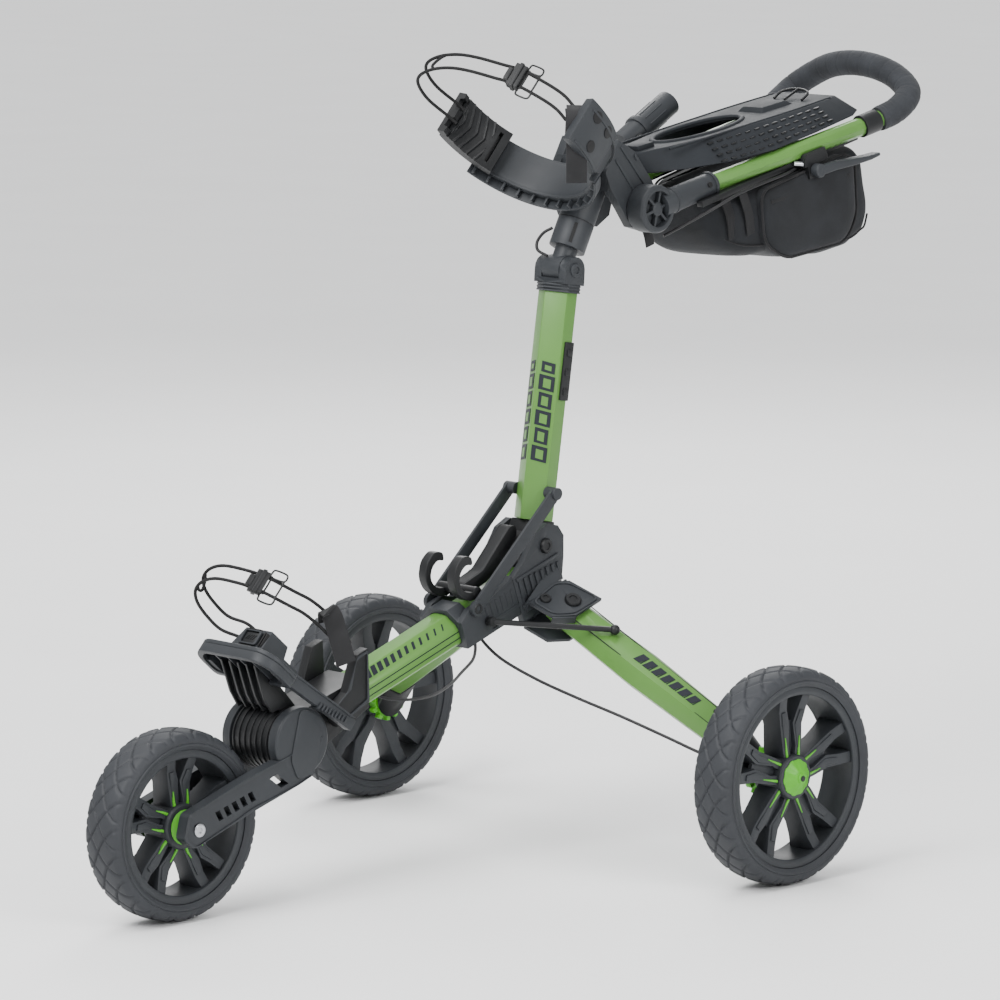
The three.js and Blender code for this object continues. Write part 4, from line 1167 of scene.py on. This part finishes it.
def neck():
    """Painted shade in the neck sleeve's seam and slot, the ribs of the cap below and of the
    bracket above.
    """
    refined("neck_sleeve", GREY, 0.8, 2)
    # Painted shade: a near-black ring at the seam groove and a near-black block in the slot.
    a, b = NECK_PIVOT + neck_up * 56.6, NECK_PIVOT + neck_up * 58.4
    parts = [bar(a, b, 20.4, 48, bevel=0.2)]
    n = Vector((0.75, -0.62, 0.25))
    n = (n - neck_up * n.dot(neck_up)).normalized()
    m = neck_up.cross(n)
    slot = [NECK_PIVOT + neck_up * h + n * r + m * w for h in (28, 52) for r in (19, 21.3)
            for w in (-2, 2)]
    parts.append(hull(slot, 0.4))
    piece("neck_seam_shade", parts, SHADOW, "neck")
    outline = [(0, 24.4), (25.8, 9.4), (25.8, -9.4), (0, -24.4), (-25.8, -9.4), (-25.8, 9.4)]
    ribs = [loft([[on_upright(x, f, h + up) for x, f in outline] for up in (0, 1.9)], bevel=0.5)
            for h in (UPRIGHT_LENGTH - 1, UPRIGHT_LENGTH + 2.6, UPRIGHT_LENGTH + 6.2)]
    for axis in (Vector((1, 0, 0)), Vector((-1, 0, 0))):
        ribs.append(screw(NECK_PIVOT + axis * 25, axis, 8, 2.6))
    piece("cap_ribs", ribs, GREY, "upright")
    parts = []
    for out in (1, -1):
        x = span(44.2, 46.0, out)
        for y0, z0, y1, z1 in ((38, 792, 92, 730), (30, 778, 80, 716), (60, 782, 64, 776)):
            side = Vector((z0 - z1, y1 - y0)).normalized() * 1.6
            rib = [Vector(p) + side * s for p in ((y0, z0), (y1, z1)) for s in (-1, 1)]
            parts.append(slab(side_view, x, rib, 0.5))
    piece("bracket_ribs", parts, GREY, "neck")
    refined("head_bracket", GREY, 1.6, 3)
    tail = [(38, 84, 700), (38, 89, 690), (38, 93, 676)]
    piece("strap_tail", strap(tail, Vector((0, 0.9, 0.4)), 13, 1.6), WEBBING, "neck")


def knuckles():
    """The two round folding joints of the handle, spoked outside, with their tube sleeves."""
    for side, out in SIDES:
        centre = KNUCKLE + Vector((45.2 * out, 0, 0))
        parts = [lathe([(19, 0), (27, 0), (27.4, 3), (27.4, 22), (25, 25), (20.5, 25), (19.5, 19),
                        (19, 18)], centre, 64, out, 0.5),
                 lathe([(0, 0), (20, 0), (20, 17), (8, 17), (8, 23), (6, 24), (0, 24)], centre, 48,
                       out, 0.5)]
        for k in range(6):
            a = TAU * k / 6 + 0.3
            across = Vector((0, -math.sin(a), math.cos(a))) * 1.6
            spoke = [polar(centre, x * out, r, a) + s * across
                     for x in (12, 23) for r in (6, 21) for s in (-1, 1)]
            parts.append(hull(spoke, 0.5))
        sleeve_a, sleeve_b = on_handle(60 * out, 12, 0), on_handle(61 * out, 98, 0)
        parts.append(bar(sleeve_a, sleeve_b, 14.6, 40, 13.6, 1.2))
        for t in (0.93, 0.2):
            p = sleeve_a.lerp(sleeve_b, t)
            parts.append(bar(p, p + (sleeve_b - sleeve_a).normalized() * 4, 15.2, 40, bevel=0.8))
        piece("knuckle_shape_" + side, parts, GREY, "handle", "knuckle_" + side)
        # Painted shade: a near-black dot on the sleeve.
        p = sleeve_a.lerp(sleeve_b, 0.8)
        dot = bar(p + Vector((12.5 * out, 0, 4)), p + Vector((14.9 * out, 0, 4.6)), 3.2, 20,
                  bevel=0.2)
        piece("knuckle_shade_dot_" + side, dot, SHADOW, "handle")


# ---- handle ----------------------------------------------------------------------------------
HANDLE_HALF = [on_handle(61, 100, 0), on_handle(80, 270, 0), on_handle(89, 360, 1),
               Vector((95, 452, 818)), Vector((90, 474, 834)), Vector((66, 482, 850)),
               Vector((36, 481, 861)), Vector((0, 480, 865))]


def handle_path():
    mirrored = [Vector((-p.x, p.y, p.z)) for p in reversed(HANDLE_HALF[:-1])]
    return smooth_path(HANDLE_HALF + mirrored, 201)


def grip():
    """The foam sleeve, a little fuller between its fine wrapped seams."""
    path = handle_path()
    rings = []
    dense = smooth_path(path[62:139], 230)
    for i, (p, (n, b)) in enumerate(zip(dense, frames_along(dense))):
        t = i / 229
        seam = max(0.0, 1 - abs((i % 12) - 6) / 1.2)
        end = min(1.0, min(t, 1 - t) * 60)
        r = 14.2 + 0.8 * end - 0.55 * seam
        rings.append(circle(p, n, b, r, 32))
    made = piece("grip_sleeve", loft(rings), FOAM, "handle", "handle_grip", 60)
    parts = [tube(path[i - 3:i + 4:3], 13.4, 8, 32, 0.8) for i in (58, 142)]
    piece("grip_clamps", parts, DARK, "handle")


def console_top(x, s):
    """A point on the console's flat top."""
    return on_handle(x, s, 54 - ((s - 30) / 0.97 + 4) * 0.066)


def console():
    """The console's shell, the lip of its tray, creases, pads, pencil clip and grip texture."""
    refined("console", MATTE, 3.2, 3, 50)
    rings = []
    for k in range(64):
        a = TAU * k / 64
        centre = console_top(31.5 * math.cos(a), 150 + 68.5 * math.sin(a))
        out = (centre - console_top(0, 150)).normalized()
        rings.append(circle(centre, out * 4.2, handle_up * 2.6, 1, 12))
    parts = [loft(rings, closed_ends=False, loop=True)]
    for out in (1, -1):
        crease = [(42, 60), (46, 110), (48, 190), (49, 260), (46, 330)]
        line = [console_top(x * out * 0.98, s) + handle_up * -0.4 for x, s in crease]
        parts.append(tube(line, 1.6, 40, 8, 0.3))
    parts.append(hull([console_top(x, s) + handle_up * h for x in (-20, 20) for s in (240, 292)
                       for h in (-2, 0)] + [console_top(x, s) + handle_up * 5 for x in (-15, 15)
                                            for s in (246, 286)], 1.6))
    parts.append(hull([console_top(x, s) + handle_up * h for x in (-13, 13) for s in (38, 66)
                       for h in (-3, 6)], 3))
    piece("console_trim", parts, MATTE, "handle")
    wires = (((-22, 306, 1), (-20, 320, 7), (0, 326, 9), (20, 320, 7), (22, 306, 1)),
             ((0, 300, 2), (0, 326, 9)))
    clip = [tube([console_top(x, s) + handle_up * h for x, s, h in wire], 1.6, count, 10)
            for wire, count in zip(wires, (40, 10))]
    piece("console_clip", clip, DARK, "handle")
    dots = []
    for out in (1, -1):
        for i in range(13):
            for j in range(4):
                s = 118 + i * 14.5
                edge = 0.62 * (70 + 11 * min(1, (s - 118) / 90))
                x = edge + 6 + j * 6.2
                if x > 76:
                    continue
                lift = max(13, 30 - (s - 26) * 0.12)
                top = 54 - (s - 26) * 0.066
                share = (x - edge) / (edge / 0.62 - edge + 1)
                p = on_handle(x * out, s, top + (lift - top) * share + 0.2)
                dots.append(box(tilted(p, handle_along, handle_up), (-1.6, 1.6), (-4.2, 4.2),
                                (-1.2, 0.5), 0.5))
    piece("console_texture", dots, DARK, "handle")


# ---- accessory bag: a soft lofted shell with pockets and piping ------------------------------
# Sections along the handle: place, height of the top and of the bottom, half width.
BAG = [(92, -19, -62, 50), (98, -19, -76, 58), (108, -19, -88, 67), (122, -19, -96, 75),
       (138, -19, -101, 80), (160, -19, -105, 83), (200, -19, -122, 85), (250, -19, -134, 86),
       (290, -19, -138, 86), (316, -19, -131, 85), (329, -20, -112, 83), (334, -24, -90, 78)]


def bag_section(s):
    for low, high in zip(BAG, BAG[1:]):
        if s <= high[0]:
            t = (s - low[0]) / (high[0] - low[0])
            return [a + (b - a) * t for a, b in zip(low, high)][1:]
    return list(BAG[-1][1:])


def bag_skin(x, s, h):
    """Soft creases: slow swells and finer diagonal folds."""
    slow = noise.noise(Vector((x * 0.012, s * 0.014, h * 0.02)))
    fold = noise.noise(Vector((x * 0.01 + h * 0.035, s * 0.03 - h * 0.02, 7)))
    return 3.2 * slow + 2.2 * fold


def bag():
    """The soft shell, its two side pockets, piping, zips and webbing, and the rails above it."""
    rings = []
    count, last = 72, 66
    for i in range(last + 1):
        s = BAG[0][0] + (BAG[-1][0] - BAG[0][0]) * i / last
        top, bottom, wide = bag_section(s)
        end = min(1.0, (i + 0.6) / 3, (last - i + 0.6) / 3)
        wide *= 0.86 + 0.14 * end
        half = (top - bottom) / 2 * (0.8 + 0.2 * end)
        mid = (top + bottom) / 2
        ring_points = []
        for k in range(count):
            a = TAU * k / count
            c, d = math.cos(a), math.sin(a)
            x = wide * math.copysign(abs(c) ** 0.42, c)
            h = mid + half * math.copysign(abs(d) ** 0.42, d)
            push = bag_skin(x, s, h) if h < top - 6 else 0
            normal = Vector((c, 0, d)).normalized()
            ring_points.append(on_handle(x + normal.x * push * 0.8 - math.copysign(1.5, c), s,
                                         min(h + normal.z * push * 0.6, top)))
        rings.append(ring_points)
    parts = [loft(rings)]
    pocket = rounded([(150, -24), (142, -84), (172, -112), (276, -124), (302, -100), (312, -36),
                      (296, -22)], 16, 6)
    centre = sum(pocket, Vector((0, 0))) / len(pocket)
    for out in (1, -1):
        rings = []
        for x, shrink in ((74, 0.0), (82, 0.0), (86.5, 0.04), (89, 0.12), (90.2, 0.3), (90.8, 0.6)):
            row = []
            for p in pocket:
                q = p + (centre - p) * shrink
                push = 1.2 * noise.noise(Vector((q.x * 0.03, q.y * 0.04, x * 0.1)))
                row.append(on_handle((x + push) * out, q.x, q.y))
            rings.append(row)
        parts.append(loft(rings))
    shell = piece("bag_shell", parts, CLOTH, "handle", "accessory_bag", 60)
    trims = []
    for out in (1, -1):
        edge = [on_handle(86 * out, p.x, p.y) for p in pocket]
        trims.append(tube(edge + edge[:1], 1.5, 150, 8))
        seam = []
        for i in range(24):
            s = 104 + 220 * i / 23
            top, bottom, wide = bag_section(s)
            seam.append(on_handle((wide - 2.5) * out, s, bottom + 15))
        trims.append(tube(seam, 1.2, 80, 8))
        zip_line = [on_handle(89.6 * out, s, h) for s, h in ((160, -40), (220, -44), (296, -48))]
        trims.append(strap(zip_line, Vector((0, 0, 1)), 4, 1.2))
        for s in (108, 128):
            top, bottom, wide = bag_section(s)
            loop = [on_handle((wide + 1) * out, s, -20), on_handle((wide + 3.5) * out, s + 2, -45),
                    on_handle((wide + 1) * out, s + 3, -70)]
            trims.append(strap(loop, handle_along, 13, 1.6))
    trim = piece("bag_trim", trims, PIPING, "handle")
    anchor = to_frame(on_handle(0, 190, -12))
    for soft in (shell, trim):
        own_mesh(soft)
    rails = [box(on_handle, span(70, 80, out), (60, 330), (-16, -9), 1.5) for out in (1, -1)]
    piece("bag_rails", rails, DARK, "handle")


def brake():
    """The brake lever's hub and paddle, its clamp and the ferrule of its cable."""
    pivot = on_handle(0, 236, -24)
    parts = [lathe([(0, 93.6), (8, 93.6), (8, 103), (6.5, 104), (0, 104)], pivot, 40, 1, 0.3)]
    rows = []
    for s, x0, x1, h0, h1 in ((238, 94, 104, -30, -19), (262, 94, 105, -31, -21),
                              (290, 94, 110, -33, -25), (314, 94, 112, -34, -28.5),
                              (331, 96, 110, -34, -30)):
        outline = rounded([(x0, h0), (x1, h0), (x1, h1), (x0, h1)], 2.4, 3)
        rows.append([on_handle(p.x, s, p.y) for p in outline])
    parts.append(loft(rows, bevel=0.5))
    piece("brake_paddle", parts, GREY, "brake_lever", "brake_lever")
    refined("brake_lever_clamp", DARK, 0.9)
    end = [on_handle(82, 214, -10), on_handle(88, 226, -14), on_handle(90, 238, -18)]
    piece("cable_ferrule", tube(end, 3.0, 20, 16, 0.4), STEEL, "handle")


def umbrella():
    """The holder with the fine ribs round its mouth, and the knob that fixes it."""
    axis = (UMBRELLA_TOP - UMBRELLA_LOW).normalized()
    n = axis.orthogonal().normalized()
    ribs = [bar(a, b, 0.9, 8, bevel=0.2) for a, b in
            zip(*(circle(UMBRELLA_LOW + axis * t, n, axis.cross(n), 14.6, 10) for t in (42, 72)))]
    refined("umbrella_holder", GREY, 0.6)
    piece("umbrella_rings", ribs, GREY, "umbrella_holder")
    knob = bar((-80, 196, 786), (-74, 196, 786), 6, 24, bevel=0.8)
    piece("umbrella_knob", knob, DARK, "handle")


def cables():
    """The cable sheaths; each of the first three runs over the joint between its two bodies and is
    joined to neither.
    """
    routes = {
        "rear_brake_cable_right": [(24, -170, 249), (22, -168, 240), (8, -159, 226),
                                   (-20, -148, 208), (-60, -128, 186), (-110, -108, 164),
                                   (-170, -88, 148), (-230, -66, 138), (-294, -46, 134)],
        "rear_brake_cable_left": [(10, -150, 257), (14, -148, 247), (34, -138, 228),
                                  (70, -120, 208), (110, -98, 190), (160, -76, 172),
                                  (215, -62, 155), (262, -52, 141), (294, -45, 135)],
        "handle_brake_cable": [(82, 287, 755), (88, 262, 750), (92, 222, 743), (90, 184, 733),
                               (84, 152, 719), (70, 120, 702), (54, 98, 688)],
        "neck_cable": [(-15, -10.5, 700), (-23, -17, 694), (-28, -22, 684), (-24, -25, 675),
                       (-10, -24, 669.5)],
    }
    for name, route in routes.items():
        shell = tube(route, CABLE_R, 90, 12, 0.3)
        if name == "neck_cable":
            piece(name + "_sheath", shell, CABLE, "neck", name)
            continue
        made = piece(name + "_sheath", shell, CABLE, None, name)
        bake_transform(made)


for build in (wheels, tube_print_and_groove_shade, upright_marks, leg_marks, fork, yoke, foot_plate, cords, hub,
              cradle, neck, knuckles, grip, console, bag, brake, umbrella, cables):
    build()

# ---- the CAD parts that keep their own outline -----------------------------------------------
PLAIN = (
    (GREEN_PAINT, 0.7, ("lower_tube", "upright_tube", "rear_leg_left", "rear_leg_right",
                        "handle_tube")),
    (GREY, 0.9, ("side_link_left", "side_link_right", "upright_cap")),
    (DARK, 0.7, ("leg_rod_left", "leg_rod_right", "upright_foot", "axle_housing_left",
                 "axle_housing_right", "brake_pawl_left", "brake_pawl_right")),
    (GREEN_PLASTIC, 0.5, ("front_hub_core", "rear_brake_gear_left", "rear_brake_gear_right")),
)
for finish, edge, names in PLAIN:
    for name in names:
        refined(name, finish, edge)
